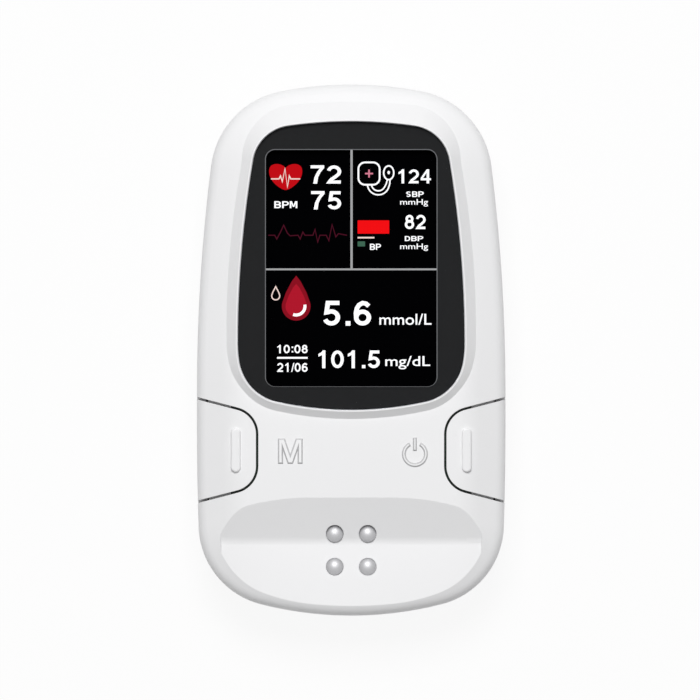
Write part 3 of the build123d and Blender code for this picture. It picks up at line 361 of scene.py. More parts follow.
def finished_metal(name, shade, roughness, grain, depth, stretch=(1.0, 1.0, 1.0)):
    """Bare or plated metal: the grain is the blasting, drawing or turning marks, stretched along the
    direction that the tool ran in."""
    made, tree = blank(name)
    place = node(tree, "ShaderNodeTexCoord").outputs["Object"]
    lay = node(tree, "ShaderNodeMapping", {"Vector": place, "Scale": stretch})
    marks = node(tree, "ShaderNodeTexNoise", {
        "Vector": lay.outputs["Vector"], "Scale": 1000 / grain, "Detail": 3.0,
    })
    gloss = node(tree, "ShaderNodeMapRange", {
        "Value": marks.outputs["Fac"], "To Min": roughness * 0.8, "To Max": roughness * 1.25,
    })
    tint = node(tree, "ShaderNodeMix", {
        0: marks.outputs["Fac"], 6: shade, 7: tone(shade, 0.88),
    }, data_type="RGBA")
    bump = node(tree, "ShaderNodeBump", {
        "Height": marks.outputs["Fac"], "Strength": 0.25, "Distance": depth * MM,
    })
    shader = node(tree, "ShaderNodeBsdfPrincipled", {
        "Base Color": tint.outputs[2], "Metallic": 1.0, "Roughness": gloss.outputs["Result"],
        "Normal": bump.outputs["Normal"],
    })
    return surfaced(made, shader.outputs["BSDF"])


def cell_sleeve(name, plus_y, minus_y):
    """Plain alkaline cell: a printed shrink sleeve over a nickel-plated can, with a blue band at the
    plus end and bare metal beyond the sleeve at both ends."""
    made, tree = blank(name)
    place = node(tree, "ShaderNodeTexCoord").outputs["Object"]
    along = node(tree, "ShaderNodeSeparateXYZ", {"Vector": place})
    share = node(tree, "ShaderNodeMapRange", {
        "Value": along.outputs["Y"], "From Min": minus_y, "From Max": plus_y,
    })
    band_from, sleeve_middle, sleeve_reach = 0.74, 0.485, 0.465
    band = node(tree, "ShaderNodeMath", {0: share.outputs["Result"], 1: band_from}, operation="GREATER_THAN")
    sleeve = node(tree, "ShaderNodeMath", {
        0: share.outputs["Result"], 1: sleeve_middle, 2: sleeve_reach,
    }, operation="COMPARE")
    print_colour = node(tree, "ShaderNodeMix", {
        0: band.outputs["Value"], 6: linear("#2B2F36"), 7: linear("#2C6FA8"),
    }, data_type="RGBA")
    tint = node(tree, "ShaderNodeMix", {
        0: sleeve.outputs["Value"], 6: linear("#C9C7C2"), 7: print_colour.outputs[2],
    }, data_type="RGBA")
    bare = node(tree, "ShaderNodeMath", {0: 1.0, 1: sleeve.outputs["Value"]}, operation="SUBTRACT")
    creases = node(tree, "ShaderNodeTexNoise", {"Vector": place, "Scale": 1000 / 2.5, "Detail": 4.0})
    bump = node(tree, "ShaderNodeBump", {
        "Height": creases.outputs["Fac"], "Strength": 0.2, "Distance": 0.03 * MM,
    })
    shader = node(tree, "ShaderNodeBsdfPrincipled", {
        "Base Color": tint.outputs[2], "Metallic": bare.outputs["Value"], "Roughness": 0.32,
        "Normal": bump.outputs["Normal"],
    })
    return surfaced(made, shader.outputs["BSDF"])


def fired_ceramic():
    """Multilayer ceramic block, fired: a matt tan body, and bands of tin across the rows of blocks."""
    made, tree = blank("fired capacitor ceramic")
    place = node(tree, "ShaderNodeTexCoord").outputs["Object"]
    speckle = node(tree, "ShaderNodeTexNoise", {"Vector": place, "Scale": 1000 / 0.3, "Detail": 4.0})
    rows = node(tree, "ShaderNodeTexWave", {"Vector": place, "Scale": band_scale(8.0)}, bands_direction="Y")
    ends = node(tree, "ShaderNodeMapRange", {
        "Value": rows.outputs["Fac"], "From Min": 0.72, "From Max": 0.77,
    })
    body = node(tree, "ShaderNodeMix", {
        0: speckle.outputs["Fac"], 6: linear("#A88A63"), 7: linear("#8E7049"),
    }, data_type="RGBA")
    tint = node(tree, "ShaderNodeMix", {
        0: ends.outputs["Result"], 6: body.outputs[2], 7: linear("#B9B7B2"),
    }, data_type="RGBA")
    shader = node(tree, "ShaderNodeBsdfPrincipled", {"Base Color": tint.outputs[2], "Roughness": 0.45})
    return surfaced(made, shader.outputs["BSDF"])


def dress(made, *names):
    """Gives CAD nodes a material."""
    for name in names:
        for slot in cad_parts[name].material_slots:
            slot.material = made


# Flat and raised shapes, in millimetres on a plane

def arc(x, y, radius, start, end, steps=24):
    """Points on an arc, from start to end in degrees."""
    turns = [math.radians(start + (end - start) * i / steps) for i in range(steps + 1)]
    return [(x + radius * math.cos(a), y + radius * math.sin(a)) for a in turns]


def rounded(x_low, y_low, x_high, y_high, radius):
    """Outline of a rectangle with rounded corners."""
    corners = ((x_high, y_high, 0), (x_low, y_high, 90), (x_low, y_low, 180), (x_high, y_low, 270))
    points = []
    for x, y, start in corners:
        centre_x = x - math.copysign(radius, x - (x_low + x_high) / 2)
        centre_y = y - math.copysign(radius, y - (y_low + y_high) / 2)
        points += arc(centre_x, centre_y, radius, start, start + 90, 8)
    return points


def ribbon(points, width, closed=False):
    """Outline, or two outlines where it is closed, of a line of even width along the points."""
    line = [Vector(p) for p in points]
    count = len(line)
    sides = ([], [])
    for i, here in enumerate(line):
        before = line[i - 1] if closed or i else here
        after = line[(i + 1) % count] if closed or i < count - 1 else here
        into = (here - before).normalized() if before != here else (after - here).normalized()
        out = (after - here).normalized() if after != here else into
        across = Vector((-into.y - out.y, into.x + out.x)).normalized()
        reach = width / 2 / max(0.35, across.dot(Vector((-into.y, into.x))))
        sides[0].append(tuple(here + across * reach))
        sides[1].append(tuple(here - across * reach))
    if closed:
        return [sides[0], sides[1]]
    return [sides[0] + sides[1][::-1]]


def fill(mesh, outlines, z):
    """Adds a flat shape to the mesh. Outlines after the first are its holes."""
    loops = [[Vector((x * MM, y * MM, z * MM)) for x, y in outline] for outline in outlines]
    points = [mesh.verts.new(p) for loop in loops for p in loop]
    for corners in tessellate_polygon(loops):
        face = [points[i] for i in corners]
        if len(set(face)) == 3:
            mesh.faces.new(face)


def piece(name, mesh, made):
    """Turns the mesh into an object that rides on the case."""
    bmesh.ops.recalc_face_normals(mesh, faces=mesh.faces[:])
    data = bpy.data.meshes.new(name)
    mesh.to_mesh(data)
    mesh.free()
    shape = bpy.data.objects.new(name, data)
    bpy.context.scene.collection.objects.link(shape)
    data.materials.append(made)
    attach(shape, "case")
    return shape


def face_up(shape):
    """Turns the faces of a flat piece to face out of the display."""
    if sum(p.normal.z for p in shape.data.polygons) < 0:
        shape.data.flip_normals()


def glass_height(layer=0):
    """Height of a lit sign over the display glass, in millimetres. Each further layer of a sign lies
    a little higher."""
    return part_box("lcd_panel")[1].z / MM + 0.02 * (layer + 1)


def lit_shape(name, shapes, made, layer=0):
    """Lit shapes on the display glass, each with its outlines."""
    mesh = bmesh.new()
    for outlines in shapes:
        fill(mesh, outlines, glass_height(layer))
    face_up(piece(name, mesh, made))


# Bold sans-serif figures, each one unit high and 0.7 wide: shapes drawn by their outlines, and
# strokes drawn by their middle lines. Each takes PITCH in a row, with SPACE of it free, and a point,
# colon or slash takes NARROW
STROKE = 0.168
PITCH = 0.78
SPACE = 0.08
NARROW = 0.37
FIGURES = {
    "0": ([], [([(0.35 + 0.25 * math.cos(a), 0.5 + 0.41 * math.sin(a)) for a in
                 [math.radians(10 * i) for i in range(36)]], True)]),
    "1": ([[[(0.32, 0.0), (0.49, 0.0), (0.49, 1.0), (0.35, 1.0), (0.28, 0.89), (0.12, 0.8), (0.12, 0.65),
             (0.32, 0.74)]]], []),
    "2": ([], [(arc(0.345, 0.66, 0.25, 168, -38) + [(0.4, 0.37), (0.22, 0.23), (0.13, 0.09), (0.66, 0.09)],
                False)]),
    "4": ([[[(0.41, 0.0), (0.58, 0.0), (0.58, 0.22), (0.7, 0.22), (0.7, 0.37), (0.58, 0.37), (0.58, 1.0),
             (0.42, 1.0), (0.02, 0.38), (0.02, 0.22), (0.41, 0.22)],
            [(0.41, 0.37), (0.41, 0.76), (0.17, 0.37)]]], []),
    "5": ([], [([(0.64, 0.91), (0.21, 0.91), (0.16, 0.53)] + arc(0.34, 0.33, 0.24, 118, -160), False)]),
    "6": ([], [(arc(0.35, 0.325, 0.235, 0, 350, 35), True),
               ([(0.115, 0.34), (0.105, 0.5), (0.14, 0.69), (0.22, 0.83), (0.35, 0.905), (0.48, 0.88),
                 (0.58, 0.78)], False)]),
    "7": ([[[(0.04, 1.0), (0.67, 1.0), (0.67, 0.86), (0.5, 0.62), (0.39, 0.36), (0.34, 0.0), (0.16, 0.0),
             (0.22, 0.36), (0.33, 0.62), (0.47, 0.84), (0.04, 0.84)]]], []),
    "8": ([], [(arc(0.35, 0.72, 0.19, 0, 350, 35), True), (arc(0.35, 0.325, 0.235, 0, 350, 35), True)]),
    "B": ([], [([(0.1, 0.0), (0.1, 1.0)], False),
               ([(0.1, 0.92), (0.38, 0.92)] + arc(0.38, 0.715, 0.205, 90, -90, 10) + [(0.1, 0.51)], False),
               ([(0.1, 0.5), (0.4, 0.5)] + arc(0.4, 0.29, 0.21, 90, -90, 10) + [(0.1, 0.08)], False)]),
    "D": ([], [([(0.1, 0.09), (0.1, 0.91), (0.3, 0.91), (0.46, 0.86), (0.56, 0.74), (0.6, 0.5), (0.56, 0.26),
                 (0.46, 0.14), (0.3, 0.09)], True)]),
    "M": ([[[(0.0, 0.0), (0.0, 1.0), (0.22, 1.0), (0.38, 0.42), (0.54, 1.0), (0.76, 1.0), (0.76, 0.0),
             (0.59, 0.0), (0.59, 0.68), (0.45, 0.18), (0.31, 0.18), (0.17, 0.68), (0.17, 0.0)]]], []),
    "P": ([], [([(0.1, 0.0), (0.1, 1.0)], False),
               ([(0.1, 0.92), (0.38, 0.92)] + arc(0.38, 0.685, 0.235, 90, -90, 10) + [(0.1, 0.45)], False)]),
    "S": ([], [(arc(0.34, 0.71, 0.2, 25, 240, 12) + arc(0.34, 0.29, 0.2, 60, -155, 12), False)]),
    ".": ([[[(0.09, 0.0), (0.27, 0.0), (0.27, 0.18), (0.09, 0.18)]]], []),
    ":": ([[[(0.1, 0.1), (0.28, 0.1), (0.28, 0.28), (0.1, 0.28)]],
           [[(0.1, 0.62), (0.28, 0.62), (0.28, 0.8), (0.1, 0.8)]]], []),
    "/": ([[[(0.0, 0.0), (0.12, 0.0), (0.36, 1.0), (0.24, 1.0)]]], []),
}


def lit_figures(name, figures, made):
    """Lit figures. Each is (text, left, right, bottom, top) in millimetres."""
    shapes = []
    for text, left, right, bottom, top in figures:
        steps = [NARROW if mark in ".:/" else PITCH for mark in text]
        wide = (right - left) / (sum(steps) - SPACE)
        high = top - bottom
        x = left
        for mark, step in zip(text, steps):
            outlines, strokes = FIGURES[mark]
            drawn = outlines + [ribbon(line, STROKE, closed) for line, closed in strokes]
            for loops in drawn:
                shapes.append([[(x + u * wide, bottom + v * high) for u, v in loop] for loop in loops])
            x += step * wide
    lit_shape(name, shapes, made)


def lit_words(name, words, made, bold):
    """Lit words, made bolder by a share of their height. Each is (text, left, right, bottom, top) in
    millimetres."""
    mesh = bmesh.new()
    for text, left, right, bottom, top in words:
        curve = bpy.data.curves.new(name, "FONT")
        curve.body = text
        curve.offset = bold
        curve.resolution_u = 6
        maker = bpy.data.objects.new(name, curve)
        bpy.context.scene.collection.objects.link(maker)
        bpy.context.view_layer.update()
        final = maker.evaluated_get(bpy.context.evaluated_depsgraph_get())
        flat = bpy.data.meshes.new_from_object(final)
        low = [min(v.co[i] for v in flat.vertices) for i in (0, 1)]
        high = [max(v.co[i] for v in flat.vertices) for i in (0, 1)]
        for v in flat.vertices:
            v.co.x = (left + (v.co.x - low[0]) / (high[0] - low[0]) * (right - left)) * MM
            v.co.y = (bottom + (v.co.y - low[1]) / (high[1] - low[1]) * (top - bottom)) * MM
            v.co.z = glass_height() * MM
        mesh.from_mesh(flat)
        bpy.data.meshes.remove(flat)
        bpy.data.objects.remove(maker)
        bpy.data.curves.remove(curve)
    piece(name, mesh, made)


def raised(name, shapes, z, height, slope, made):
    """Low relief moulded with the case: the shapes stand up from z, with sides that slope in by slope,
    and reach a little below z, so that they are one with the face. The shapes are in millimetres, and
    z, height and slope in metres."""
    mesh = bmesh.new()
    foot = 0.05 * MM
    for outline in shapes:
        mesh.faces.new([mesh.verts.new((x * MM, y * MM, z - foot)) for x, y in outline])
    mesh.normal_update()
    for face in mesh.faces:
        if face.normal.z < 0:
            face.normal_flip()
    grown = bmesh.ops.extrude_face_region(mesh, geom=mesh.faces[:])
    lifted = [g for g in grown["geom"] if isinstance(g, bmesh.types.BMVert)]
    bmesh.ops.translate(mesh, verts=lifted, vec=(0.0, 0.0, foot))
    tops = [g for g in grown["geom"] if isinstance(g, bmesh.types.BMFace)]
    bmesh.ops.inset_region(
        mesh, faces=tops, thickness=slope, depth=height, use_even_offset=True, use_boundary=True,
    )
    piece(name, mesh, made)


# Operators: the stage

# Height of the case that the lamp is aimed at, and from which the camera's distance counts, in metres
MIDDLE_HEIGHT = 0.015


def seen_plainly(tree):
    """Gives 1 for rays from the camera and by way of gloss, metal and glass, to which the stage is
    plain white whatever light it gives or takes."""
    rays = node(tree, "ShaderNodeLightPath").outputs
    seen = rays["Is Camera Ray"]
    for kind in ("Is Glossy Ray", "Is Transmission Ray"):
        seen = node(tree, "ShaderNodeMath", {0: seen, 1: rays[kind]}, operation="MAXIMUM").outputs["Value"]
    return seen


class METER_OT_stage(bpy.types.Operator):
    """Adds the pale floor, the studio light and the camera that looks straight at the display"""

    bl_idname = "meter.stage"
    bl_label = "Stage"

    def execute(self, context):
        scene = context.scene
        scene.view_settings.view_transform = "Standard"
        self.add_floor()
        self.add_world(scene)
        self.add_lamp(scene)
        self.add_camera(scene)
        return {"FINISHED"}

    def add_floor(self):
        mesh = bmesh.new()
        bmesh.ops.create_grid(mesh, x_segments=2, y_segments=2, size=2.5)
        data = bpy.data.meshes.new("floor")
        mesh.to_mesh(data)
        mesh.free()
        floor = bpy.data.objects.new("floor", data)
        bpy.context.scene.collection.objects.link(floor)
        data.materials.append(self.studio_paper())

    def studio_paper(self):
        """Seamless studio paper: matt white, that reads as plain white and keeps a faint shadow."""
        made, tree = blank("studio paper")
        plain_share = 0.88
        share = node(tree, "ShaderNodeMath", {0: seen_plainly(tree), 1: plain_share}, operation="MULTIPLY")
        paper = node(tree, "ShaderNodeBsdfDiffuse", {"Color": linear("#DCDCDC")})
        glow = node(tree, "ShaderNodeEmission", {"Color": (1.0, 1.0, 1.0, 1.0), "Strength": 1.03})
        mixed = node(tree, "ShaderNodeMixShader", {
            0: share.outputs["Value"], 1: paper.outputs["BSDF"], 2: glow.outputs["Emission"],
        })
        return surfaced(made, mixed.outputs["Shader"])

    def add_world(self, scene):
        world = bpy.data.worlds.new("studio")
        world.use_nodes = True
        tree = world.node_tree
        tree.nodes.clear()
        soft = node(tree, "ShaderNodeBackground", {"Color": (1.0, 1.0, 1.0, 1.0), "Strength": 0.295})
        white = node(tree, "ShaderNodeBackground", {"Color": (1.0, 1.0, 1.0, 1.0), "Strength": 1.0})
        mixed = node(tree, "ShaderNodeMixShader", {
            0: seen_plainly(tree), 1: soft.outputs["Background"], 2: white.outputs["Background"],
        })
        node(tree, "ShaderNodeOutputWorld", {"Surface": mixed.outputs["Shader"]})
        scene.world = world

    def add_lamp(self, scene):
        data = bpy.data.lights.new("softbox", "AREA")
        data.shape = "SQUARE"
        data.size = 0.42
        data.energy = 7.2
        lamp = bpy.data.objects.new("softbox", data)
        lamp.location = (-0.03, 0.44, 0.915)
        aim = Vector((0.0, 0.0, MIDDLE_HEIGHT)) - lamp.location
        lamp.rotation_euler = aim.to_track_quat("-Z", "Y").to_euler()
        scene.collection.objects.link(lamp)

    def add_camera(self, scene):
        data = bpy.data.cameras.new("camera")
        data.sensor_width = 36.0
        distance = 3.0
        field_width = 0.1318
        data.lens = data.sensor_width * distance / field_width
        data.clip_start = 0.05
        data.clip_end = 10.0
        camera = bpy.data.objects.new("camera", data)
        camera.location = (-0.00023, 0.00002, MIDDLE_HEIGHT + distance)
        scene.collection.objects.link(camera)
        scene.camera = camera


# Operators: the case and its keys

class METER_OT_case(bpy.types.Operator):
    """Finishes the front shell, the rear shell and the battery door"""

    bl_idname = "meter.case"
    bl_label = "Case"

    def execute(self, context):
        colours = context.scene.meter_colours
        edge = context.scene.meter_sizes.edge_radius
        dress(moulded_abs("moulded ABS of the front", colours.case, edge), "front_shell")
        back = moulded_abs("textured ABS of the back", colours.case, edge, grain=0.6, depth=0.02)
        dress(back, "rear_shell", "battery_door")
        return {"FINISHED"}


class METER_OT_keys(bpy.types.Operator):
    """Finishes the two side keys"""

    bl_idname = "meter.keys"
    bl_label = "Keys"

    def execute(self, context):
        colours = context.scene.meter_colours
        edge = context.scene.meter_sizes.edge_radius
        dress(moulded_abs("moulded ABS of the keys", colours.keys, edge), "mode_key", "power_key")
        return {"FINISHED"}


class METER_OT_key_signs(bpy.types.Operator):
    """Adds the moulded M and the moulded on-off sign beside the keys"""

    bl_idname = "meter.key_signs"
    bl_label = "Key signs"

    def execute(self, context):
        colours = context.scene.meter_colours
        sizes = context.scene.meter_sizes
        # The moulded signs get a painted highlight on their tops and painted shade on their sloped sides
        made = relief_abs_with_painted_light_and_shade(colours.signs, colours.sign_sides_painted_shade)
        # The lens tape lies on the level of the flat face
        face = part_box("lens_tape")[0].z
        slope = sizes.sign_height * 0.7
        letter = self.letter_m(-13.8, -9.1, -21.4, -16.6, sizes.sign_stroke / MM)
        raised("mode_sign", [letter], face, sizes.sign_height, slope, made)
        x, y, radius, half_opening = 11.97, -19.54, 2.08, 26
        # The strokes of this sign are finer than those of the letter, and each step of the ring is
        # longer than the slope is wide, so that its ends don't fold over
        stroke = sizes.sign_stroke / MM * 0.78
        steps = 28
        ring, = ribbon(arc(x, y, radius, 90 + half_opening, 450 - half_opening, steps), stroke)
        bar, = ribbon([(x, y + 0.55), (x, y + 1.8), (x, y + 3.1)], stroke)
        raised("on_off_sign", [ring, bar], face, sizes.sign_height, slope, made)
        return {"FINISHED"}

    def letter_m(self, left, right, bottom, top, stroke):
        """Outline of an M, whose inner corners stay clear of each other when its sides slope in."""
        middle = (left + right) / 2
        notch = top - 2.4 * stroke
        return [
            (left, bottom), (left, top), (left + 1.35 * stroke, top), (middle, bottom + 1.9 * stroke),
            (right - 1.35 * stroke, top), (right, top), (right, bottom), (right - stroke, bottom),
            (right - stroke, notch), (middle + 0.5 * stroke, bottom), (middle - 0.5 * stroke, bottom),
            (left + stroke, notch), (left + stroke, bottom),
        ]


# Operators: the lens and the display

# The clear window in the printed border, in millimetres: half its width, its length, the radius of its
# corners, and the width of the border over it
WINDOW_HALF_WIDTH = 16.22
WINDOW_LENGTH = 44.8
WINDOW_CORNER = 1.9
BORDER_TOP = 5.1


def window():
    """Low and high corners of the clear window, in millimetres."""
    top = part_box("lens_mask")[1].y / MM - BORDER_TOP
    return -WINDOW_HALF_WIDTH, top - WINDOW_LENGTH, WINDOW_HALF_WIDTH, top


class METER_OT_lens(bpy.types.Operator):
    """Finishes the lens, its border, tape and foam, and adds the thin printed outline of the window"""

    bl_idname = "meter.lens"
    bl_label = "Lens"

    def execute(self, context):
        colours = context.scene.meter_colours
        sizes = context.scene.meter_sizes
        dress(clear_acrylic(), "display_lens")
        dress(printed_ink("screen printed black ink", colours.border), "lens_mask")
        tape = pressed_film("acrylic adhesive tape", linear("#1E1E1E"), depth=0.005, roughness=0.5)
        dress(tape, "lens_tape")
        dress(pressed_film("closed-cell foam", linear("#141414")), "lcd_gasket")
        made = printed_ink("screen printed grey ink", colours.outline)
        width = sizes.outline_width / MM
        x_low, y_low, x_high, y_high = window()
        inset = width / 2
        line = rounded(x_low + inset, y_low + inset, x_high - inset, y_high - inset, WINDOW_CORNER - inset)
        mesh = bmesh.new()
        # The line lies within the thickness of the ink, a little under the lens
        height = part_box("lens_mask")[1].z / MM - 0.04
        fill(mesh, ribbon(line, width, closed=True), height)
        face_up(piece("window_outline", mesh, made))
        return {"FINISHED"}


class METER_OT_display(bpy.types.Operator):
    """Finishes the display glass, its backlight and connector, and the two flexes"""

    bl_idname = "meter.display"
    bl_label = "Display"

    def execute(self, context):
        colours = context.scene.meter_colours
        dress(display_glass(colours.dark_pixels), "lcd_panel")
        dress(moulded_polymer("moulded polycarbonate", linear("#DCDCDA"), roughness=0.4), "lcd_backlight")
        dress(polyimide_flex(), "lcd_flex", "sensor_flex")
        shroud = moulded_polymer("moulded liquid-crystal polymer", linear("#D8D0BC"), roughness=0.55)
        dress(shroud, "lcd_connector")
        return {"FINISHED"}


class METER_OT_fields(bpy.types.Operator):
    """Adds the lit lines between the three fields of the display"""

    bl_idname = "meter.fields"
    bl_label = "Fields"

    def execute(self, context):
        colours = context.scene.meter_colours
        width = context.scene.meter_sizes.divider_width / MM
        made = lit_pixels("lit grey pixels", colours.dividers, 0.95)
        x_low, _, x_high, y_high = window()
        under_border = 0.4
        middle, crossing = 0.06, 15.19
        # The upright starts just above the level line, so that the two don't lie in one another
        lit_shape("field_lines", [
            ribbon([(x_low - under_border, crossing), (x_high + under_border, crossing)], width * 0.8),
            ribbon([(middle, crossing + width * 0.42), (middle, y_high + under_border)], width),
        ], made)
        return {"FINISHED"}


class METER_OT_readings(bpy.types.Operator):
    """Adds the lit figures and their units"""

    bl_idname = "meter.readings"
    bl_label = "Readings"

    def execute(self, context):
        colours = context.scene.meter_colours
        made = lit_pixels("lit white pixels", colours.digits, 1.15)
        lit_figures("readings", [
            ("72", -7.8, -1.8, 31.3, 34.75), ("75", -7.7, -1.75, 26.45, 29.9),
            ("124", 8.55, 15.0, 31.35, 34.0), ("82", 10.0, 14.05, 22.75, 25.45),
            ("5.6", -5.45, 3.9, 4.6, 9.3), ("101.5", -6.6, 5.5, -3.4, -0.05),
            ("10:08", -14.1, -8.15, -0.6, 1.0), ("21/06", -13.95, -8.15, -4.1, -2.4),
            ("BPM", -14.5, -10.25, 26.7, 28.0), ("SBP", 10.25, 13.65, 28.8, 29.85),
            ("DBP", 10.05, 13.55, 20.5, 21.45), ("BP", 3.5, 5.6, 18.85, 20.0),
        ], made)
        lit_words("units", [
            ("mmHg", 9.2, 14.45, 27.0, 28.4), ("mmHg", 9.2, 14.45, 18.65, 20.05),
            ("mmol/L", 5.3, 15.1, 4.75, 6.85), ("mg/dL", 6.4, 14.85, -3.6, -1.1),
        ], made, bold=0.006)
        lit_shape("date_line", [ribbon([(-13.95, -1.45), (-8.2, -1.45)], 0.34)], made)
        return {"FINISHED"}


class METER_OT_pulse_sign(bpy.types.Operator):
    """Adds the lit heart with its pulse line, and the dim trace under the figures"""

    bl_idname = "meter.pulse_sign"
    bl_label = "Pulse sign"

    def execute(self, context):
        colours = context.scene.meter_colours
        red = lit_pixels("lit red pixels", colours.pulse)
        lit_shape("heart", [[self.heart(-12.33, 33.0, 3.12, 0.19)]], red)
        beat = [(-15.1, 32.2), (-13.6, 32.2), (-13.3, 32.75), (-12.95, 31.7), (-12.45, 34.1), (-12.0, 30.7),
                (-11.65, 32.75), (-11.35, 32.2), (-9.6, 32.2)]
        pale = lit_pixels("lit pale pixels", linear("#F6DCD2"))
        lit_shape("heart_beat", [ribbon(beat, 0.24)], pale, layer=1)
        trace = [(-15.6, 21.6), (-14.4, 21.6), (-14.0, 20.9), (-13.3, 22.2), (-12.7, 23.5), (-12.0, 22.0),
                 (-11.5, 21.5), (-10.0, 21.6), (-9.6, 20.9), (-9.1, 22.2), (-8.7, 21.6), (-7.2, 21.6),
                 (-6.8, 22.7), (-6.3, 20.3), (-5.9, 21.6), (-4.7, 21.6), (-4.2, 20.6), (-3.6, 23.6),
                 (-2.9, 21.3), (-2.4, 21.9), (-0.8, 21.6)]
        lit_shape("pulse_trace", [ribbon(trace, 0.2)], lit_pixels("lit dim pixels", colours.trace))
        return {"FINISHED"}

    def heart(self, x, y, half_width, scale):
        """Outline of a heart. The width is a power of the sine, which pinches the lobes together at the
        top and keeps the sides full below, and the height is a short sum of cosines."""
        points = []
        for turn in range(0, 360, 6):
            sine, cosine = math.sin(math.radians(turn)), math.cos(math.radians(turn))
            across = math.copysign(abs(sine) ** (1.25 + 1.6 * max(0, cosine)), sine)
            up = sum(part * math.cos(math.radians(turn * times)) for part, times in (
                (12.2, 1), (-4, 2), (-1.6, 3), (-0.7, 4),
            ))
            points.append((x + half_width * across, y + scale * up))
        return points


class METER_OT_pressure_sign(bpy.types.Operator):
    """Adds the lit cuff sign with its tube and bulb, and the level bar under it"""

    bl_idname = "meter.pressure_sign"
    bl_label = "Pressure sign"

    def execute(self, context):
        colours = context.scene.meter_colours
        white = bpy.data.materials["lit white pixels"]
        cuff = ribbon(rounded(1.35, 31.1, 5.35, 35.3, 1.25), 0.32, closed=True)
        tube_outer = [(3.0, 31.0)] + arc(5.1, 31.25, 2.05, 192, 340, 20) + [(7.25, 31.3), (7.3, 32.1)]
        tube_inner = [(3.75, 31.0)] + arc(5.1, 31.25, 1.3, 192, 335, 20) + [(6.6, 31.3), (6.8, 32.1)]
        sides = [math.radians(t) for t in range(0, 360, 12)]
        bulb = [(7.05 + 0.95 * math.sin(t), 33.35 + 1.3 * math.cos(t)) for t in sides]
        valve = [(7.05 + 0.24 * math.sin(t), 33.4 + 0.32 * math.cos(t)) for t in sides]
        lit_shape("cuff_sign", [
            cuff, ribbon(tube_outer, 0.26), ribbon(tube_inner, 0.26),
            ribbon(bulb, 0.28, closed=True), [valve],
        ], white)
        plus = [ribbon([(2.6, 33.2), (4.1, 33.2)], 0.3), ribbon([(3.35, 32.45), (3.35, 33.95)], 0.3)]
        rose = lit_pixels("lit rose pixels", linear("#DA8095"))
        lit_shape("cuff_plus", plus, rose, layer=1)
        bar = lit_pixels("lit level pixels", colours.level)
        lit_shape("level_bar", [[rounded(1.2, 21.9, 7.15, 24.4, 0.12)]], bar)
        pale = bpy.data.materials["lit pale pixels"]
        lit_shape("level_line", [ribbon([(1.2, 21.15), (4.35, 21.15)], 0.3)], pale)
        green = lit_pixels("lit green pixels", colours.normal)
        lit_shape("level_mark", [[rounded(1.2, 19.5, 2.6, 20.45, 0.1)]], green)
        return {"FINISHED"}


class METER_OT_drop_sign(bpy.types.Operator):
    """Adds the lit drop and the small outlined drop beside the glucose figures"""

    bl_idname = "meter.drop_sign"
    bl_label = "Drop sign"

    def execute(self, context):
        colours = context.scene.meter_colours
        x, y = -10.35, 8.25
        crimson = lit_pixels("lit crimson pixels", colours.drop)
        lit_shape("drop", [[self.drop(x, y, 2.7, 5.75)]], crimson)
        bright = lit_pixels("lit bright crimson pixels", tone(colours.drop, 1.7))
        lit_shape("drop_middle", [[self.drop(x, y, 2.0, 4.2)]], bright, layer=1)
        shine = ribbon(arc(x, y, 1.65, 250, 370, 18), 0.55)
        lit_shape("drop_shine", [shine], bpy.data.materials["lit white pixels"], layer=2)
        small = ribbon(self.drop(-14.2, 10.2, 0.75, 1.75), 0.22, closed=True)
        lit_shape("drop_small", [small], bpy.data.materials["lit pale pixels"])
        return {"FINISHED"}

    def drop(self, x, y, radius, tip):
        """Outline of a drop round x and y, with its tip that far above them."""
        right = [(x + radius * 0.72, y + radius * 0.95), (x + radius * 0.3, y + radius * 1.75)]
        left = [(x - radius * 0.3, y + radius * 1.75), (x - radius * 0.72, y + radius * 0.95)]
        return arc(x, y, radius, -205, 25, 36) + right + [(x, y + tip)] + left


# Operators: the electrodes and what is inside

class METER_OT_electrodes(bpy.types.Operator):
    """Finishes the four electrodes, and the sprung contacts of the electrodes and the cells"""

    bl_idname = "meter.electrodes"
    bl_label = "Electrodes"

    def execute(self, context):
        colours = context.scene.meter_colours
        steel = finished_metal("bead-blasted stainless steel", colours.steel, 0.52, 0.25, 0.004)
        dress(
            steel, "electrode_upper_left", "electrode_upper_right", "electrode_lower_left",
            "electrode_lower_right",
        )
        nickel = finished_metal(
            "nickel-plated spring steel", linear("#C8C4BA"), 0.28, 0.3, 0.004, stretch=(1.0, 0.1, 1.0),
        )
        dress(nickel, "electrode_contacts", "negative_contact", "positive_contact", "bridge_contact")
        return {"FINISHED"}


class METER_OT_boards(bpy.types.Operator):
    """Finishes the two circuit boards and the components on them"""

    bl_idname = "meter.boards"
    bl_label = "Boards"

    def execute(self, context):
        colours = context.scene.meter_colours
        dress(solder_mask(colours.boards), "main_board", "sensor_board")
        epoxy = moulded_polymer("moulded chip epoxy", linear("#262627"), 0.6, 0.3)
        dress(epoxy, "microcontroller", "measurement_chip")
        dress(moulded_polymer("moulded buzzer resin", linear("#1C1C1E"), 0.5), "buzzer")
        dress(finished_metal("drawn nickel-plated can", linear("#C9CACC"), 0.25, 0.4, 0.003), "crystal")
        dress(moulded_polymer("pressed ferrite", linear("#55565A"), 0.55, 0.35), "power_inductor")
        dress(fired_ceramic(), "chip_capacitors")
        nylon = moulded_polymer("moulded glass-filled nylon", linear("#2A2A2C"), 0.5)
        dress(nylon, "mode_switch", "power_switch")
        acetal = moulded_polymer("moulded acetal stem", linear("#B43A2A"), 0.4)
        dress(acetal, "mode_switch_plunger", "power_switch_plunger")
        return {"FINISHED"}


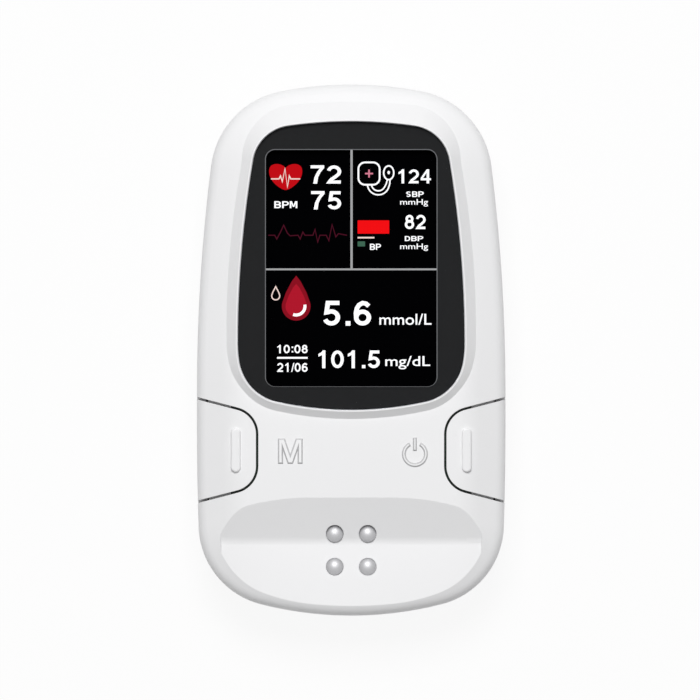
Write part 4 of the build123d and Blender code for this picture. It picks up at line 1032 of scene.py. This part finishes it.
class METER_OT_cells(bpy.types.Operator):
    """Finishes the two AAA cells"""

    bl_idname = "meter.cells"
    bl_label = "Cells"

    def execute(self, context):
        for name, plus_up in (("battery_left", True), ("battery_right", False)):
            low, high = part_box(name)
            ends = (high.y, low.y) if plus_up else (low.y, high.y)
            dress(cell_sleeve("printed sleeve of " + name, *ends), name)
        return {"FINISHED"}


class METER_OT_screws(bpy.types.Operator):
    """Finishes the screws"""

    bl_idname = "meter.screws"
    bl_label = "Screws"

    def execute(self, context):
        zinc = finished_metal("zinc-plated screw steel", linear("#BFC1C4"), 0.32, 0.3, 0.004)
        dress(zinc, "case_screws", "board_screws", "sensor_board_screws")
        return {"FINISHED"}


class METER_PT_panel(bpy.types.Panel):
    """Lists the steps that dress the meter"""

    bl_idname = "METER_PT_panel"
    bl_label = "Blood glucose meter"
    bl_space_type = "VIEW_3D"
    bl_region_type = "UI"
    bl_category = "Meter"

    def draw(self, context):
        for step in STEPS:
            self.layout.operator(step.bl_idname)
        for group in (context.scene.meter_colours, context.scene.meter_sizes):
            column = self.layout.column()
            for name in group.bl_rna.properties.keys():
                if name not in ("rna_type", "name"):
                    column.prop(group, name)


STEPS = (
    METER_OT_stage, METER_OT_case, METER_OT_keys, METER_OT_key_signs, METER_OT_lens, METER_OT_display,
    METER_OT_fields, METER_OT_readings, METER_OT_pulse_sign, METER_OT_pressure_sign, METER_OT_drop_sign,
    METER_OT_electrodes, METER_OT_boards, METER_OT_cells, METER_OT_screws,
)
CLASSES = (MeterColours, MeterSizes, *STEPS, METER_PT_panel)


def register():
    for item in CLASSES:
        bpy.utils.register_class(item)
    bpy.types.Scene.meter_colours = bpy.props.PointerProperty(type=MeterColours)
    bpy.types.Scene.meter_sizes = bpy.props.PointerProperty(type=MeterSizes)


def unregister():
    del bpy.types.Scene.meter_sizes
    del bpy.types.Scene.meter_colours
    for item in reversed(CLASSES):
        bpy.utils.unregister_class(item)


def corners(box):
    """A box as plain lists of numbers."""
    return [[float(v) for v in corner] for corner in box]


def main():
    register()
    for step in STEPS:
        group, name = step.bl_idname.split(".")
        getattr(getattr(bpy.ops, group), name)()


if __name__ == "__main__":
    main()
